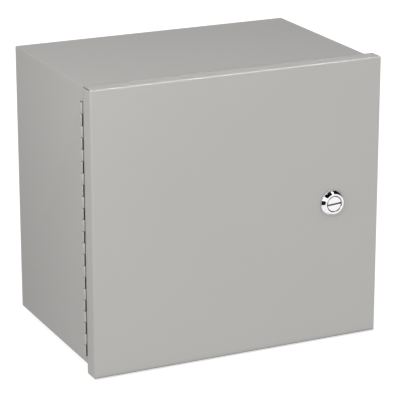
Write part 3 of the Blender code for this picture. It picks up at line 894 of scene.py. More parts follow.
class Fasteners:
    """Screws and nuts, each made facing the front with its underside at the origin."""

    @staticmethod
    def pan_screw(radius: float, height: float) -> Shape:
        """A pan head with a cross recess.

        Args:
            radius: The head's radius.
            height: The head's height.

        Returns:
            The head.
        """
        profile = [
            (0.0, 0.0),
            (radius, 0.0),
            (radius, height * 0.45),
            (radius * 0.93, height * 0.74),
            (radius * 0.7, height * 0.93),
            (0.0, height),
        ]
        head = Shape.spun(profile, Axis.FRONT, (0, 0, 0), 24)
        arm, slim = radius * 0.62, radius * 0.13
        across = Shape.block((-arm, -2 * height, -slim), (arm, -height * 0.45, slim))
        upright = Shape.block((-slim, -2 * height, -arm), (slim, -height * 0.45, arm))
        return head.cut(across, upright)

    @staticmethod
    def slotted_screw(radius: float, height: float, turned_by: float = 0.5) -> Shape:
        """A cheese head with a straight slot.

        Args:
            radius: The head's radius.
            height: The head's height.
            turned_by: The slot's angle.

        Returns:
            The head.
        """
        profile = [
            (0.0, 0.0),
            (radius, 0.0),
            (radius, height * 0.85),
            (radius * 0.94, height),
            (0.0, height),
        ]
        half_slot = radius * 0.13
        slot = Shape.block((-2 * radius, -2 * height, -half_slot), (2 * radius, -height * 0.5, half_slot))
        slot.turn(turned_by, Axis.FRONT, (0, 0, 0))
        return Shape.spun(profile, Axis.FRONT, (0, 0, 0), 24).cut(slot)

    @staticmethod
    def socket_screw(radius: float, height: float) -> Shape:
        """A set screw's end with a hexagon socket.

        Args:
            radius: The screw's radius.
            height: How far it stands out.

        Returns:
            The screw's end.
        """
        profile = [
            (0.0, 0.0),
            (radius, 0.0),
            (radius, height - 0.0004),
            (radius - 0.0004, height),
            (0.0, height),
        ]
        socket = Shape.rod((0, -height, 0), Axis.FRONT, radius * 0.56, 2 * (height - 0.0005), 6)
        return Shape.spun(profile, Axis.FRONT, (0, 0, 0), 28).cut(socket)

    @staticmethod
    def hex_nut(radius: float, height: float, bore: float) -> Shape:
        """A hexagon nut, chamfered, on its washer.

        Args:
            radius: Its radius to the corners.
            height: Its height without the washer.
            bore: The bore's radius.

        Returns:
            The nut and its washer.
        """
        washer = 0.0010
        nut = Shape.rod((0, -(washer + height / 2), 0), Axis.FRONT, radius, height, 6)
        nut.bevel(0.0004, 2)
        hole = Shape.rod((0, 0, 0), Axis.FRONT, bore, 0.04, 24)
        ring = [(bore, 0.0), (radius * 1.28, 0.0), (radius * 1.28, washer * 0.9), (bore, washer * 0.9)]
        return nut.cut(hole).join(Shape.spun(ring, Axis.FRONT, (0, 0, 0), 40))


class Assembly:
    """What every sub-assembly shares: making a piece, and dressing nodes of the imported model."""

    def piece(
        self,
        name: str,
        shape: Shape,
        finish: Finish,
        carrier: Carrier,
        stands_for: Sequence[str] = (),
        smooth_to: float = 35.0,
    ) -> bpy.types.Object:
        """Makes one finished piece.

        Args:
            name: The piece's name.
            shape: Its shape, in place.
            finish: Its finish.
            carrier: The body it rides on.
            stands_for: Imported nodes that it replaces.
            smooth_to: The angle in degrees over which an edge stays sharp.

        Returns:
            The piece.
        """
        made = shape.as_object(name)
        made.data.shade_smooth()
        made.data.set_sharp_from_angle(angle=math.radians(smooth_to))
        made.data.materials.clear()
        made.data.materials.append(finish.material())
        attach(made, carrier.value)
        if stands_for:
            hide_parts(*stands_for)
        LOG.info("%s: %d faces, %s", name, len(made.data.polygons), finish.name)
        return made

    def dress(self, finish: Finish, *nodes: str) -> None:
        """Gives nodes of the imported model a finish.

        Args:
            finish: The finish.
            nodes: The nodes' names.
        """
        for name in nodes:
            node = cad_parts[name]
            for slot in node.material_slots:
                slot.material = finish.material()
            LOG.info("%s: dressed in %s", name, finish.name)


def four_corners(half_x: float, half_z: float) -> list[tuple[float, float]]:
    """The (x, z) corners of a rectangle about the middle."""
    return [(x, z) for x in (-half_x, half_x) for z in (-half_z, half_z)]


def runs_in_depth(a: Vector, b: Vector) -> bool:
    """Whether an edge runs along Y."""
    return abs(a.y - b.y) > 1e-6 and abs(a.x - b.x) < 1e-6 and abs(a.z - b.z) < 1e-6


@dataclass
class EnclosureBox(Assembly):
    """The folded sheet-steel box, open in front, with its door seat, studs and knock-outs."""

    sheet: float = 0.0015
    fold: float = 0.0012
    lip_width: float = 0.012
    lip_depth: float = 0.0095
    seat_drop: float = 0.0028
    depth: float = 0.1955
    stud_radius: float = 0.003
    stud_tip: float = -0.024
    collar_radius: float = 0.007
    knockout_x: tuple[float, ...] = (-0.095, 0.0, 0.095)
    knockout_rings: tuple[Point, ...] = (  # outer and inner radius, and how far it stands out
        (0.0222, 0.0180, 0.00025),
        (0.0172, 0.0145, 0.0004),
        (0.0140, 0.0, 0.0002),
    )
    wall_holes: tuple[float, float] = (0.154, 0.142)
    wall_hole_radius: float = 0.004
    studs: tuple[float, float] = (0.135, 0.122)

    def build(self) -> None:
        """Makes the box's pieces."""
        self.low, self.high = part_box("enclosure_body")
        self.build_shell()
        self.build_seat()
        self.build_studs()
        self.build_knockouts()

    def build_shell(self) -> None:
        """The five-sided box with its wall holes and the hinge's notch."""
        front = -self.depth
        box = Shape.block((self.low.x, front, self.low.z), (self.high.x, 0.0, self.high.z))

        def folded(a: Vector, b: Vector) -> bool:
            """Whether an edge is a fold: it runs in depth, or lies in the back."""
            return runs_in_depth(a, b) or (a.y > -1e-6 and b.y > -1e-6)

        box.bevel(self.fold, 4, folded).open_towards(Axis.FRONT).wall(self.sheet)
        leaf_low, leaf_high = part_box("hinge_leaf_body")
        notch = Shape.block(
            (self.low.x - 0.001, front - 0.001, leaf_low.z - 0.0005),
            (self.low.x + self.sheet + 0.001, leaf_low.y + 0.0051, leaf_high.z + 0.0005),
        )
        holes = [
            Shape.rod((x, 0.0, z), Axis.FRONT, self.wall_hole_radius, 0.01, 32)
            for x, z in four_corners(*self.wall_holes)
        ]
        self.piece(
            "enclosure_shell", box.cut(notch, *holes), GREY_PAINT, Carrier.ENCLOSURE, ["enclosure_body"]
        )

    def channel(self, start: Point, end: Point, forward: float, inward: Point) -> Shape:
        """A lip folded from a flange: the flange runs forward and its edge turns inwards.

        Args:
            start: One corner of the flange's back edge.
            end: The other corner, across the sheet's thickness and along its length.
            forward: The y of the lip's face.
            inward: How far the lip reaches, as a vector.

        Returns:
            The folded strip.
        """
        flange = Shape.block(start, (end[0], forward, end[2]))
        reach = Vector(inward)
        near = Vector((start[0], forward, start[2]))
        far = Vector((end[0], forward + self.sheet, end[2])) + reach
        if sum(inward) < 0:
            near, far = (
                Vector((end[0], forward, end[2])),
                Vector((start[0], forward + self.sheet, start[2])) + reach,
            )
        lip = Shape.block(near, far)
        return flange.join(lip)

    def build_seat(self) -> None:
        """The three-sided seat that the door closes over, and its spot-welded step."""
        face = -self.depth - self.lip_depth
        back = -self.depth + 0.001
        left = self.low.x + 0.004
        right = self.high.x
        top = self.high.z - self.seat_drop
        bottom = self.low.z
        sheet = self.sheet
        reach = self.lip_width - sheet
        upper = self.channel((left, back, top - sheet), (right, back, top), face, (0, 0, -reach))
        lower = self.channel((left, back, bottom), (right, back, bottom + sheet), face, (0, 0, reach))
        side_low, side_high = bottom + self.lip_width + HAIR, top - self.lip_width - HAIR
        side = self.channel(
            (right - sheet, back, side_low), (right, back, side_high), face, (-reach, 0, 0)
        )
        step = Shape.block(
            (left, -self.depth, top - sheet),
            (right - 0.0005, -self.depth + sheet, self.high.z - 0.0005),
        )
        self.piece("door_seat", upper.join(lower, side, step), GREY_PAINT, Carrier.ENCLOSURE)

    def build_studs(self) -> None:
        """The four welded panel studs with their collars."""
        places = [(x, 0.0, z) for x, z in four_corners(*self.studs)]
        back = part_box("back_panel")[1].y + HAIR
        inner = -self.sheet
        profile = [
            (0.0, -inner),
            (self.collar_radius, -inner),
            (self.collar_radius, -back - 0.0006),
            (self.collar_radius - 0.0006, -back),
            (self.stud_radius, -back),
        ]
        height = -back
        while height < -self.stud_tip - 0.0012:
            profile += [(self.stud_radius, height + 0.0004), (self.stud_radius - 0.0003, height + 0.0008)]
            height += 0.0008
        profile += [(self.stud_radius - 0.0008, -self.stud_tip), (0.0, -self.stud_tip)]
        stud = Shape.spun(profile, Axis.FRONT, (0, 0, 0), 28)
        self.piece("panel_studs", stud.repeated(places), ZINC, Carrier.ENCLOSURE)

    def build_knockouts(self) -> None:
        """Concentric knock-outs pressed into the bottom wall."""
        made = Shape()
        for x in self.knockout_x:
            for outer, inner, proud in self.knockout_rings:
                profile = [(inner, -0.0008), (outer, -0.0008), (outer, proud), (inner, proud)]
                made.join(Shape.spun(profile, Axis.DOWN, (x, -self.depth / 2, self.low.z), 64))
        self.piece("bottom_knockouts", made, GREY_PAINT, Carrier.ENCLOSURE)


@dataclass
class DoorPan(Assembly):
    """The pan-shaped door with rounded front folds, open corners, a seal and a blank wiring plate."""

    sheet: float = 0.0015
    fold: float = 0.002
    slit: float = 0.0007
    hole: float = 0.0096
    seal_width: float = 0.009
    plate_half: tuple[float, float] = (0.050, 0.070)

    def build(self) -> None:
        """Makes the door's pieces."""
        self.low, self.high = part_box("door_pan")
        self.build_pan()
        self.build_seal()
        self.build_wiring_plate()

    def build_pan(self) -> None:
        """The pan itself."""
        low, high = self.low, self.high
        pan = Shape.block(low, high)
        pan.bevel(self.fold, 6, lambda a, b: max(a.y, b.y) < low.y + 1e-6)
        pan.open_towards(Axis.BACK).wall(self.sheet)
        cutters = []
        for x in (low.x, high.x):
            for z in (low.z, high.z):
                half = (high.y - low.y) / 2
                slit = Shape.block((-0.004, -half, -self.slit / 2), (0.004, half, self.slit / 2))
                slit.turn(-math.copysign(math.pi / 4, x * z), Axis.BACK, (0, 0, 0))
                cutters.append(slit.move((x, (low.y + high.y) / 2 + 0.002, z)))
        bezel_low, bezel_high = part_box("latch_bezel")
        middle = (bezel_low + bezel_high) / 2
        cutters.append(Shape.rod((middle.x, low.y, middle.z), Axis.FRONT, self.hole, 0.01, 48))
        self.piece("door_skin", pan.cut(*cutters), GREY_PAINT, Carrier.DOOR, ["door_pan"])

    def build_seal(self) -> None:
        """The foam strip inside the door that meets the seat's lips."""
        inner = self.low.y + self.sheet + HAIR
        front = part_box("enclosure_body")[0].y - 0.0006
        box_low, box_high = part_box("enclosure_body")
        edge = self.seal_width
        left = box_low.x + 0.012
        right = box_high.x - 0.0015
        top = box_high.z - 0.0045
        bottom = box_low.z + 0.0015
        strips = [
            Shape.block((left, inner, top - edge), (right, front, top)),
            Shape.block((left, inner, bottom), (right, front, bottom + edge)),
            Shape.block((right - edge, inner, bottom + edge + HAIR), (right, front, top - edge - HAIR)),
        ]
        seal = Shape().join(*strips).bevel(0.0012, 3)
        self.piece("door_seal", seal, RUBBER, Carrier.DOOR)

    def build_wiring_plate(self) -> None:
        """A blank plate inside the door, where a wiring diagram would go."""
        inner = self.low.y + self.sheet + HAIR
        half_x, half_z = self.plate_half
        centre = (-0.020, inner, 0.010)
        sheet = Shape.block(
            (centre[0] - half_x, inner, centre[2] - half_z),
            (centre[0] + half_x, inner + 0.0003, centre[2] + half_z),
        )
        sheet.bevel(0.003, 4, runs_in_depth)
        look = BlankPlate(
            "wiring plate film", "white_enamel", (0.80, 0.80, 0.77), 0.4, centre=centre,
            half_width=half_x, half_height=half_z, border=0.0012,
        )
        self.piece("wiring_plate", sheet, look, Carrier.DOOR)


@dataclass
class PianoHinge(Assembly):
    """The continuous hinge down the left seam, painted outside but for a dark strip by the seam, which is
    painted shade of the gap beside the door's flange.
    """

    knuckles: int = 22
    radius: float = 0.0024
    bore: float = 0.0015
    gap: float = 0.0003
    # how squarely a knuckle face must look at the door's flange to keep the dark phosphate as painted shade
    bare_from: float = 0.76
    seam_from: float = 0.95
    weld_pitch: float = 0.042

    def build(self) -> None:
        """Makes the two leaves and dresses the pin."""
        self.dress(ZINC, "hinge_pin")
        rear_low, rear_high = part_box("hinge_leaf_body")
        door_low, door_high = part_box("hinge_leaf_door")
        self.top = rear_high.z
        self.pitch = (rear_high.z - rear_low.z) / self.knuckles
        self.axis_x = rear_low.x + self.radius
        self.axis_y = rear_low.y + self.radius
        front = range(0, self.knuckles, 2)
        rear = range(1, self.knuckles, 2)
        leaf_x = (rear_high.x - 0.001, rear_high.x)
        edge = self.axis_y + self.radius + 0.0007
        rear_leaf = self.leaf(leaf_x, (edge, rear_high.y), rear)
        made = self.piece(
            "hinge_rear_leaf", rear_leaf, PHOSPHATE, Carrier.ENCLOSURE, ["hinge_leaf_body"], 50.0
        )
        # The rear knuckles' faces towards the door's flange stay dark: painted shade of the slot beside the
        # flange.
        self.paint_outside(made, self.bare_from)
        edge = self.axis_y - self.radius - 0.0008
        front_leaf = self.leaf(leaf_x, (edge, door_low.y), front)
        made = self.piece(
            "hinge_front_leaf", front_leaf, PHOSPHATE, Carrier.DOOR, ["hinge_leaf_door"], 50.0
        )
        # A narrow strip of the front knuckles stays dark too: painted shade of the seam.
        self.paint_outside(made, self.seam_from)
        self.build_welds(rear_low, rear_high)

    def leaf(self, x: tuple[float, float], y: tuple[float, float], own: range) -> Shape:
        """One leaf with its own knuckles rolled from its edge.

        Args:
            x: The leaf's thickness, as a range.
            y: The leaf's edge beside the pin, and its other edge.
            own: The numbers of its knuckles, from the top.

        Returns:
            The leaf.
        """
        sheet = Shape.block((x[0], y[0], self.top - self.knuckles * self.pitch), (x[1], y[1], self.top))
        half = (self.pitch - self.gap) / 2
        ring = [
            (self.bore, -half),
            (self.radius - 0.0001, -half),
            (self.radius, -half + 0.0001),
            (self.radius, half - 0.0001),
            (self.radius - 0.0001, half),
            (self.bore, half),
        ]
        for index in own:
            middle = self.top - (index + 0.5) * self.pitch
            place = (self.axis_x, self.axis_y, middle)
            into = math.copysign(0.001, y[1] - y[0])
            web = Shape.block(
                (x[0] + 0.0001, self.axis_y - into * 1.7, middle - half + 0.0001),
                (x[1] - 0.0001, y[0] + into, middle + half - 0.0001),
            )
            web.cut(Shape.rod(place, Axis.UP, self.bore + 0.0004, 0.02, 24))
            sheet.join(Shape.spun(ring, Axis.UP, place, 36), web)
        return sheet

    def paint_outside(self, leaf: bpy.types.Object, bare_from: float) -> None:
        """Paints the knuckles' outsides grey, and leaves the faces that look at the door's flange dark:
        painted shade of the gap by the flange.

        Args:
            leaf: The leaf.
            bare_from: How squarely a face must look at the flange to stay dark as painted shade.
        """
        leaf.data.materials.append(GREY_PAINT.material())
        # Faces that look at the flange keep the dark phosphate as painted shade; the rest are painted grey.
        for face in leaf.data.polygons:
            outside = face.center.x < self.axis_x and abs(face.normal.z) < 0.5
            if outside and face.normal.y > -bare_from:
                face.material_index = 1

    def build_welds(self, low: Vector, high: Vector) -> None:
        """Spot-weld buttons down the rear leaf.

        Args:
            low: The leaf's lowest corner.
            high: The leaf's highest corner.
        """
        profile = [(0.0, 0.0001), (0.0022, 0.0001), (0.0018, 0.0004), (0.0, 0.0005)]
        count = int((high.z - low.z) / self.weld_pitch)
        places = [
            (high.x, high.y - 0.010, low.z + (index + 0.75) * self.weld_pitch) for index in range(count)
        ]
        weld = Shape.spun(profile, Axis.RIGHT, (0, 0, 0), 20)
        self.piece("hinge_weld_buttons", weld.repeated(places), PHOSPHATE, Carrier.ENCLOSURE)


@dataclass
class QuarterTurnLatch(Assembly):
    """The screwdriver-slot cam latch: a chromed bezel round a slotted core, with its nut and cam."""

    tilt: float = math.radians(4)
    slot_width: float = 0.0020
    slot_depth: float = 0.0026

    def build(self) -> None:
        """Makes the bezel and the core, and dresses what is behind the door."""
        low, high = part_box("latch_bezel")
        middle = (low + high) / 2
        self.centre = Vector((middle.x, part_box("door_pan")[0].y, middle.z))
        self.radius = (high.x - low.x) / 2
        self.height = self.centre.y - low.y
        self.back = high.y - self.centre.y
        self.build_bezel()
        self.build_core()
        self.build_dust_seal()
        self.dress(ZINC, "latch_nut", "latch_cam", "cam_screw")

    def build_bezel(self) -> None:
        """The turned ring with its foot, coned flank, rounded rim and threaded barrel."""
        rim = self.radius * 0.772
        bore = 0.0089
        profile = [
            (0.0059, -self.back),
            (0.0092, -self.back),
            (0.0092, -0.0003),
            (self.radius, -0.0003),
            (self.radius, 0.0019),
            (self.radius - 0.0001, 0.0022),
            (self.radius - 0.0003, 0.0025),
            (rim + 0.0002, self.height - 0.0002),
            (rim - 0.0001, self.height),
            (bore + 0.0008, self.height),
            (bore + 0.0002, self.height - 0.0003),
            (bore, self.height - 0.0009),
            (bore, 0.001),
            (0.0059, 0.001),
        ]
        ring = Shape.spun(profile, Axis.FRONT, self.centre, 96)
        self.piece("latch_ring", ring, CHROME, Carrier.DOOR, ["latch_bezel"], 50.0)

    def build_core(self) -> None:
        """The slotted core with its shank and the square that drives the cam."""
        low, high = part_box("latch_core")
        face = self.centre.y - low.y
        radius = (high.x - low.x) / 2
        end = high.y - self.centre.y
        profile = [
            (0.0, -end + 0.0035),
            (0.0052, -end + 0.0035),
            (0.0055, -end + 0.004),
            (0.0055, 0.0014),
            (radius, 0.0014),
            (radius, face - 0.0006),
            (radius - 0.0002, face - 0.0002),
            (radius - 0.0006, face),
            (0.0, face),
        ]
        plug = Shape.spun(profile, Axis.FRONT, self.centre, 96)
        half = self.slot_width / 2
        slot = Shape.block((-0.02, -face - 0.01, -half), (0.02, -face + self.slot_depth, half))
        slot.turn(self.tilt, Axis.FRONT, (0, 0, 0)).move(self.centre)
        square = Shape.block(
            self.centre + Vector((-0.004, end - 0.0048, -0.004)), self.centre + Vector((0.004, end, 0.004))
        )
        core = plug.cut(slot).join(square)
        made = self.piece("latch_plug", core, CHROME, Carrier.LATCH, ["latch_core"], 50.0)
        # The faces inside the slot get the dark finish: painted shade in the recess.
        made.data.materials.append(SLOT_PAINTED_SHADE.material())
        for part in made.data.polygons:
            place = part.center - self.centre
            reach = math.hypot(place.x, place.z)
            in_slot = -face + 0.0004 < place.y < -face + self.slot_depth + HAIR and reach < radius - 0.0004
            if in_slot:
                part.material_index = 1

    def build_dust_seal(self) -> None:
        """A black ring down between the bezel and the core: painted shade that darkens the gap."""
        top = self.centre.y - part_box("latch_core")[0].y - 0.0005
        # A black ring at the bottom of the gap between bezel and core, as painted shade in the gap.
        profile = [(0.0084, 0.0012), (0.00885, 0.0012), (0.00885, top), (0.0084, top)]
        seal = Shape.spun(profile, Axis.FRONT, self.centre, 72)
        self.piece("latch_dust_seal", seal, RUBBER, Carrier.DOOR)


@dataclass
class BackPanel(Assembly):
    """The white subpanel on its studs, with the mechanism's base screwed to it."""

    nut_radius: float = 0.0055
    nut_height: float = 0.005
    screw_radius: float = 0.0035
    screw_height: float = 0.0022
    inset: float = 0.0078

    def build(self) -> None:
        """Dresses the panel and adds nuts and screws."""
        self.dress(WHITE_PAINT, "back_panel")
        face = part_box("back_panel")[0].y - HAIR
        places = [(x, face, z) for x in (-0.135, 0.135) for z in (-0.122, 0.122)]
        for number, place in enumerate(places, 1):
            nut = Fasteners.hex_nut(self.nut_radius, self.nut_height, 0.0031).move(place)
            self.piece(f"panel_nut_{number}", nut, ZINC, Carrier.ENCLOSURE)
        low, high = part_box("switch_base")
        corners = [
            (x, low.y - HAIR, z)
            for x in (low.x + self.inset, high.x - self.inset)
            for z in (low.z + self.inset, high.z - self.inset)
        ]
        screws = Fasteners.pan_screw(self.screw_radius, self.screw_height).repeated(corners)
        self.piece("base_screws", screws, ZINC, Carrier.ENCLOSURE)


@dataclass
class TransferMechanism(Assembly):
    """The two-pole transfer mechanism: base, bearing plates, lugs, contacts, chutes and shaft."""

    set_screw_radius: float = 0.0045
    set_screw_height: float = 0.0022
    plate_sheet: float = 0.0010
    plate_pitch: float = 0.0042

    def build(self) -> None:
        """Dresses the mechanism's nodes and adds screws and splitter plates."""
        self.dress(PHENOLIC, "switch_base", "load_crossbar")
        self.dress(ZINC, "side_plate_left", "side_plate_right", "transfer_shaft")
        self.dress(ZINC, "drive_lever", "manual_lever")
        self.dress(RED_PLASTIC, "handle_grip")
        self.dress(BLACK_PLASTIC, "switch_cam", "utility_limit_switch", "generator_limit_switch")
        self.dress(BRASS, "utility_switch_lever", "generator_switch_lever")
        self.dress(IVORY_PLASTIC, "arc_chute_utility", "arc_chute_generator")
        for pole in (1, 2):
            self.dress(COPPER, f"load_bar_{pole}", f"contact_arm_{pole}")
            self.dress(COPPER, *(f"{source.label}_contact_{pole}" for source in Source))
            self.dress(TINNED, f"load_lug_{pole}", *(f"{source.label}_lug_{pole}" for source in Source))
        self.build_set_screws()
        self.build_splitters()

    def build_set_screws(self) -> None:
        """A hexagon-socket screw in the front of each lug."""
        for prefix in ("utility_lug", "generator_lug", "load_lug"):
            for pole in (1, 2):
                low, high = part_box(f"{prefix}_{pole}")
                middle = (low + high) / 2
                screw = Fasteners.socket_screw(self.set_screw_radius, self.set_screw_height)
                screw.move((middle.x, low.y - HAIR, middle.z))
                self.piece(f"{prefix}_screw_{pole}", screw, ZINC, Carrier.ENCLOSURE)

    def build_splitters(self) -> None:
        """Stacks of thin steel plates in the outer half of each arc cell."""
        for source in Source:
            low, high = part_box(f"arc_chute_{source.label}")
            outer = high.z if source is Source.UTILITY else low.z
            made = Shape()
            for pole in (1, 2):
                bar_low, bar_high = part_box(f"{source.label}_contact_{pole}")
                middle = (bar_low.x + bar_high.x) / 2
                for index in range(5):
                    height = outer - source.value * (0.005 + index * self.plate_pitch)
                    plate = Shape.block(
                        (middle - 0.0094, low.y + 0.0026, height),
                        (middle + 0.0094, -0.0435, height + self.plate_sheet),
                    )
                    made.join(plate)
            self.piece(f"{source.label}_splitter_plates", made.bevel(0.0002, 1), ZINC, Carrier.ENCLOSURE)


@dataclass
class Solenoid(Assembly):
    """One operating coil: a taped winding on its bobbin, in a plated frame, with a plunger."""

    source: Source
    flange: float = 0.0010
    tube: float = 0.0047
    crown: float = 0.0005

    def build(self) -> None:
        """Makes the winding and the bobbin, and dresses the rest."""
        name = self.source.label
        low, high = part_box(f"{name}_coil")
        centre = (low + high) / 2
        half = (high.z - low.z) / 2
        radius = (high.x - low.x) / 2
        core = self.tube + 0.0006
        inner = half - self.flange - HAIR
        steps = 12
        surface = [
            (radius - self.crown * (1 + (2 * step / steps - 1) ** 2), -inner + 2 * inner * step / steps)
            for step in range(steps + 1)
        ]
        winding = Shape.spun([(core, inner), (core, -inner), *surface], Axis.UP, centre, 64)
        self.piece(f"{name}_winding", winding, TAPE, Carrier.ENCLOSURE, [f"{name}_coil"], 40.0)
        edge = radius - 0.0001
        reel = [
            (self.tube, -half),
            (edge, -half),
            (edge, -half + self.flange),
            (core - 0.0001, -half + self.flange),
            (core - 0.0001, half - self.flange),
            (edge, half - self.flange),
            (edge, half),
            (self.tube, half),
        ]
        self.piece(f"{name}_bobbin", Shape.spun(reel, Axis.UP, centre, 64), NYLON, Carrier.ENCLOSURE)
        self.dress(ZINC, f"{name}_coil_frame", f"{name}_plunger")


@dataclass
class ControlModule(Assembly):
    """The control module with its selector, test button, lamps, screws and blank plate."""

    lamp_radius: float = 0.0026
    lamp_pitch: float = 0.012
    tick_from: float = 0.0128
    tick_to: float = 0.0155
    plate_half: tuple[float, float] = (0.021, 0.0125)

    def build(self) -> None:
        """Dresses the module and adds its small fittings."""
        self.dress(BLACK_PLASTIC, "controller_housing", "mode_knob")
        self.dress(IVORY_PLASTIC, "controller_cover")
        self.dress(GREEN_PLASTIC, "test_button")
        self.low, self.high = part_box("controller_cover")
        self.face = self.low.y - HAIR
        self.middle = (self.low.x + self.high.x) / 2
        self.build_lamps()
        self.build_knob_marks()
        self.build_plate()
        corners = [
            (x, self.face, z)
            for x in (self.low.x + 0.0052, self.high.x - 0.0052)
            for z in (self.low.z + 0.0052, self.high.z - 0.0052)
        ]
        screws = Fasteners.pan_screw(0.0024, 0.0016).repeated(corners)
        self.piece("cover_screws", screws, ZINC, Carrier.ENCLOSURE)

    def build_lamps(self) -> None:
        """Three domed lenses in a row, each in a bright ring."""
        height = self.high.z - 0.0065
        for index, (name, finish) in enumerate(
            (("utility_lamp", GREEN_LENS), ("ready_lamp", AMBER_LENS), ("generator_lamp", RED_LENS))
        ):
            place = (self.middle + (index - 1) * self.lamp_pitch, self.face, height)
            dome = [(0.0, 0.0)] + [
                (self.lamp_radius * math.cos(angle), 0.0006 + self.lamp_radius * 0.8 * math.sin(angle))
                for angle in (math.radians(15 * step) for step in range(6))
            ]
            dome += [(0.0, 0.0006 + self.lamp_radius * 0.8)]
            dome.insert(1, (self.lamp_radius, 0.0))
            self.piece(name, Shape.spun(dome, Axis.FRONT, place, 32), finish, Carrier.ENCLOSURE)
            ring = [
                (self.lamp_radius + HAIR, 0.0),
                (self.lamp_radius + 0.0009, 0.0),
                (self.lamp_radius + 0.0007, 0.0009),
                (self.lamp_radius + HAIR, 0.0009),
            ]
            self.piece(f"{name}_ring", Shape.spun(ring, Axis.FRONT, place, 40), CHROME, Carrier.ENCLOSURE)

    def build_knob_marks(self) -> None:
        """Three tick marks round the selector, and the pointer line on its grip."""
        low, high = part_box("mode_knob")
        centre = (low + high) / 2
        ticks = Shape()
        for angle in (-math.pi / 4, 0.0, math.pi / 4):
            tick = Shape.block((-0.0004, 0.0, self.tick_from), (0.0004, -0.0002, self.tick_to))
            ticks.join(tick.turn(angle, Axis.FRONT, (0, 0, 0)))
        ticks.move((centre.x, self.face, centre.z))
        self.piece("selector_marks", ticks, BLACK_PLASTIC, Carrier.ENCLOSURE)
        line = Shape.block(
            (centre.x - 0.0006, low.y - HAIR, centre.z + 0.0010),
            (centre.x + 0.0006, low.y - 0.0003, centre.z + 0.0088),
        )
        self.piece("selector_pointer", line.bevel(0.00008, 1), WHITE_PAINT, Carrier.SELECTOR)

    def build_plate(self) -> None:
        """A blank plate low on the cover."""
        half_x, half_z = self.plate_half
        centre = (self.middle, self.face, self.low.z + 0.026)
        sheet = Shape.block(
            (centre[0] - half_x, self.face, centre[2] - half_z),
            (centre[0] + half_x, self.face - 0.0004, centre[2] + half_z),
        )
        sheet.bevel(0.0015, 4, runs_in_depth)
        look = BlankPlate(
            "module plate", "aluminium", (0.74, 0.75, 0.76), 0.35, 0.9, centre=centre,
            half_width=half_x, half_height=half_z, border=0.0005,
        )
        self.piece("module_plate", sheet, look, Carrier.ENCLOSURE)


@dataclass
class TerminalRows(Assembly):
    """The terminal strip, the relay and the neutral and ground bars, with their screws."""

    strip_pitch: float = 0.0088
    strip_count: int = 6
    bar_pitch: float = 0.0095

    def build(self) -> None:
        """Dresses the terminals and adds clamps and screws."""
        self.dress(BLACK_PLASTIC, "terminal_strip", "relay_socket", "utility_coil_lead")
        self.dress(IVORY_PLASTIC, "control_relay", "neutral_insulator", "neutral_lead")
        self.dress(RED_PLASTIC, "generator_coil_lead")
        self.dress(TINNED, "neutral_bar", "ground_bar")
        self.build_strip()
        self.build_bar("neutral_bar", 8, ZINC)
        self.build_bar("ground_bar", 6, GREEN_PLASTIC)

    def build_strip(self) -> None:
        """A saddle clamp and a screw between each pair of ribs."""
        low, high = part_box("terminal_strip")
        face = -0.033 - HAIR
        first = low.x + 0.0008 + 0.0008 + self.strip_pitch / 2
        middle = (low.z + high.z) / 2
        places = [(first + index * self.strip_pitch, face, middle) for index in range(self.strip_count)]
        saddle = Shape.block((-0.0029, 0.0, -0.0080), (0.0029, -0.0009, 0.0080)).bevel(0.0003, 2)
        self.piece("terminal_saddles", saddle.repeated(places), BRASS, Carrier.ENCLOSURE)
        raised = [(x, y - 0.0009 - HAIR, z) for x, y, z in places]
        screw = Fasteners.slotted_screw(0.0024, 0.0018)
        self.piece("terminal_screws", screw.repeated(raised), ZINC, Carrier.ENCLOSURE)

    def build_bar(self, bar: str, count: int, finish: Finish) -> None:
        """A row of clamping screws along a bar.

        Args:
            bar: The bar's node.
            count: How many screws.
            finish: The screws' finish.
        """
        low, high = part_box(bar)
        middle = (low + high) / 2
        start = middle.x - (count - 1) / 2 * self.bar_pitch
        if bar == "ground_bar":
            start = middle.x - (count - 1) / 2 * self.bar_pitch * 0.95
        places = [
            (start + index * self.bar_pitch * (0.95 if bar == "ground_bar" else 1.0), low.y - HAIR, middle.z)
            for index in range(count)
        ]
        screw = Fasteners.slotted_screw(0.0032, 0.0024, 0.9)
        self.piece(f"{bar}_screws", screw.repeated(places), finish, Carrier.ENCLOSURE)


# Studio


@dataclass(frozen=True)
class Card:
    """A reflection card that only gloss sees: where it stands as seen from the latch, its size and its light.

    A card with a piece named in lights_only lights that piece alone.
    """

    name: str
    towards: Point
    distance: float
    width: float
    height: float
    light: float
    lights_only: str = ""


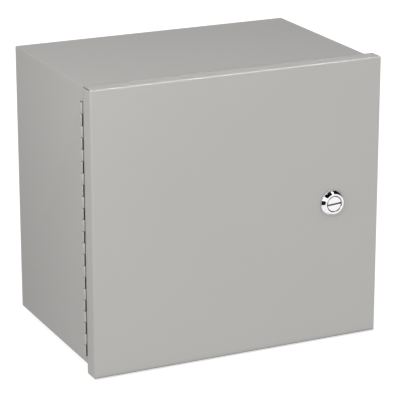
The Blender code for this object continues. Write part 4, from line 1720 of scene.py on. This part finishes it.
@dataclass
class Studio:
    """Pale floor, soft light, reflection cards for the bright metal, and the camera."""

    camera_place: Point = (-0.9394, -2.1060, 0.6891)
    pitch: float = 0.3096
    turn: float = 0.4432
    lens: float = 187.4
    floor_reach: float = 14.0
    backdrop_height: float = 12.0
    backdrop_foot: float = -0.5
    backdrop_glow: float = 1.1
    key_place: Point = (-0.75, -1.25, 1.05)
    key_power: float = 2.6
    side_place: Point = (-0.65, -0.34, 0.22)
    side_power: float = 0.62
    sky: float = 0.683
    sky_lean: Point = (-0.05, -0.33, 0.24)
    flag_width: float = 0.0022
    cards: tuple[Card, ...] = (
        Card("front_white", (0.38, -0.87, -0.31), 0.60, 0.80, 0.80, 1.04),
        Card("left_white", (-0.85, -0.35, 0.14), 0.95, 0.95, 1.20, 1.5),
        Card("low_white", (-0.50, -0.20, -0.85), 0.50, 0.80, 0.60, 1.0),
        Card("top_white", (0.05, -0.20, 0.93), 0.50, 0.80, 0.30, 1.6),
        Card("bend_light", (-0.20, -0.15, 0.968), 0.272, 0.42, 0.034, 30.0, "door_skin"),
        Card("left_black", (-0.936, -0.326, -0.135), 0.72, 0.50, 0.80, 0.0),
        Card("upper_left_black", (-0.30, -0.25, 0.90), 0.36, 0.34, 0.34, 0.0),
        Card("upper_grey", (0.12, 0.10, 0.99), 0.34, 0.22, 0.16, 0.10),
        Card("right_black", (0.80, 0.02, 0.58), 0.37, 0.44, 0.40, 0.0),
    )

    def build(self) -> None:
        """Sets up everything round the object."""
        self.build_floor()
        self.build_backdrop()
        self.build_world()
        self.build_lights()
        self.build_cards()
        self.build_flag()
        self.build_camera()
        bpy.context.scene.view_settings.view_transform = "Standard"

    def build_floor(self) -> None:
        """A wide pale floor just under the object. The sky lights the object, from below too."""
        low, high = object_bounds()
        shape = Shape()
        bmesh.ops.create_circle(shape.mesh, cap_ends=True, radius=self.floor_reach, segments=96)
        shape.move(((low.x + high.x) / 2, (low.y + high.y) / 2, low.z - 0.0002))
        floor = shape.as_object("studio_floor")
        graph = Graph("studio floor")
        cloud = graph.noise(1.5, 2.0)
        graph.set(
            Base_Color=graph.mix(cloud, (0.40, 0.40, 0.40), (0.43, 0.43, 0.43)),
            Roughness=0.85,
            Specular_IOR_Level=0.1,
            Emission_Color=(1.0, 1.0, 1.0),
            Emission_Strength=0.78,
        )
        floor.data.materials.append(graph.material)
        floor.visible_diffuse = False
        floor.visible_glossy = False
        floor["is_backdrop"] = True

    def build_backdrop(self) -> None:
        """A tall white ring just inside the floor's edge. It lights nothing and shades nothing."""
        ring = Shape()
        reach = self.floor_reach - 0.1
        height = self.backdrop_height
        bmesh.ops.create_cone(
            ring.mesh, cap_ends=False, segments=96, radius1=reach, radius2=reach, depth=height
        )
        ring.move((0.0, 0.0, height / 2 + self.backdrop_foot))
        backdrop = ring.as_object("studio_backdrop")
        graph = Graph("studio backdrop")
        graph.set(
            Base_Color=(0.0, 0.0, 0.0),
            Specular_IOR_Level=0.0,
            Emission_Color=(1.0, 1.0, 1.0),
            Emission_Strength=self.backdrop_glow,
        )
        backdrop.data.materials.append(graph.material)
        backdrop.visible_diffuse = False
        backdrop.visible_glossy = False
        backdrop.visible_shadow = False
        backdrop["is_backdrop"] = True

    def build_world(self) -> None:
        """A soft light from all round, a little stronger from the front and from above."""
        world = bpy.data.worlds.new("studio_world")
        world.use_nodes = True
        tree = world.node_tree
        coordinates = tree.nodes.new("ShaderNodeTexCoord")
        towards = tree.nodes.new("ShaderNodeVectorMath")
        towards.operation = "DOT_PRODUCT"
        towards.inputs[1].default_value = self.sky_lean
        level = tree.nodes.new("ShaderNodeMath")
        level.operation = "ADD"
        level.inputs[1].default_value = self.sky
        background = tree.nodes["Background"]
        background.inputs["Color"].default_value = (1.0, 1.0, 1.0, 1.0)
        tree.links.new(coordinates.outputs["Generated"], towards.inputs[0])
        tree.links.new(towards.outputs["Value"], level.inputs[0])
        tree.links.new(level.outputs["Value"], background.inputs["Strength"])
        bpy.context.scene.world = world

    def build_lights(self) -> None:
        """The key softbox above the front left corner, and a small one that grazes the hinge side."""
        self.softbox("key_softbox", self.key_place, Vector((0.0, -0.1, 0.0)), 0.6, self.key_power)
        self.softbox("side_softbox", self.side_place, Vector((-0.165, -0.12, 0.0)), 0.25, self.side_power)

    def softbox(self, name: str, place: Point, aimed_at: Vector, size: float, power: float) -> None:
        """One round softbox.

        Args:
            name: Its name.
            place: Where it stands.
            aimed_at: What it faces.
            size: Its diameter.
            power: Its power in watts.
        """
        data = bpy.data.lights.new(name, "AREA")
        data.shape = "DISK"
        data.size = size
        data.energy = power
        light = bpy.data.objects.new(name, data)
        light.location = place
        light.rotation_mode = "QUATERNION"
        light.rotation_quaternion = (aimed_at - light.location).to_track_quat("-Z", "Y")
        light.visible_glossy = False
        bpy.context.scene.collection.objects.link(light)

    def build_cards(self) -> None:
        """Stands the reflection cards round the latch, each with its height along the door's depth."""
        low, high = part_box("latch_bezel")
        latch = (low + high) / 2
        for card in self.cards:
            shape = Shape()
            bmesh.ops.create_grid(shape.mesh, x_segments=1, y_segments=1, size=0.5)
            away = Vector(card.towards).normalized()
            across = away.cross(Vector(Axis.BACK.value)).normalized()
            turned = Matrix((across, away.cross(across), away)).transposed().to_4x4()
            matrix = (
                Matrix.Translation(latch + away * card.distance)
                @ turned
                @ Matrix.Diagonal((card.width, card.height, 1.0, 1.0))
            )
            bmesh.ops.transform(shape.mesh, matrix=matrix, verts=shape.mesh.verts)
            made = shape.as_object(f"card_{card.name}")
            graph = Graph(f"card {card.name}")
            graph.set(
                Base_Color=(0.0, 0.0, 0.0),
                Specular_IOR_Level=0.0,
                Emission_Color=(1.0, 1.0, 1.0),
                Emission_Strength=card.light,
            )
            made.data.materials.append(graph.material)
            made.visible_camera = False
            made.visible_diffuse = False
            made.visible_shadow = False
            made.visible_transmission = False
            if card.lights_only:
                lit = bpy.data.collections.new(f"lit_by_{card.name}")
                lit.objects.link(bpy.data.objects[card.lights_only])
                made.light_linking.receiver_collection = lit
            made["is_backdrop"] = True

    def build_flag(self) -> None:
        """A thin black strip on the floor that keeps light off the door's bottom fold."""
        low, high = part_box("door_pan")
        strip = Shape.block(
            (low.x, low.y - self.flag_width, low.z - HAIR),
            (high.x, low.y + self.flag_width, low.z - 2 * HAIR),
        )
        flag = strip.as_object("studio_flag")
        graph = Graph("studio flag")
        graph.set(Base_Color=(0.0, 0.0, 0.0), Specular_IOR_Level=0.0)
        flag.data.materials.append(graph.material)
        flag.visible_camera = False
        flag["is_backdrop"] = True

    def build_camera(self) -> None:
        """The camera, in front of the box's left corner and above it."""
        data = bpy.data.cameras.new("studio_camera")
        data.lens = self.lens
        data.sensor_width = 36.0
        data.clip_start, data.clip_end = 0.05, 60.0
        camera = bpy.data.objects.new("studio_camera", data)
        camera.location = self.camera_place
        camera.rotation_euler = (math.pi / 2 - self.pitch, 0.0, -self.turn)
        bpy.context.scene.collection.objects.link(camera)
        bpy.context.scene.camera = camera


def main() -> None:
    """Builds the sub-assemblies in order, then the studio."""
    logging.basicConfig(level=logging.INFO, format="%(name)s: %(message)s")
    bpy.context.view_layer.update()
    for assembly in (
        EnclosureBox(),
        DoorPan(),
        PianoHinge(),
        QuarterTurnLatch(),
        BackPanel(),
        TransferMechanism(),
        Solenoid(Source.UTILITY),
        Solenoid(Source.GENERATOR),
        ControlModule(),
        TerminalRows(),
        Studio(),
    ):
        LOG.info("building %s", type(assembly).__name__)
        assembly.build()


if __name__ == "__main__":
    main()
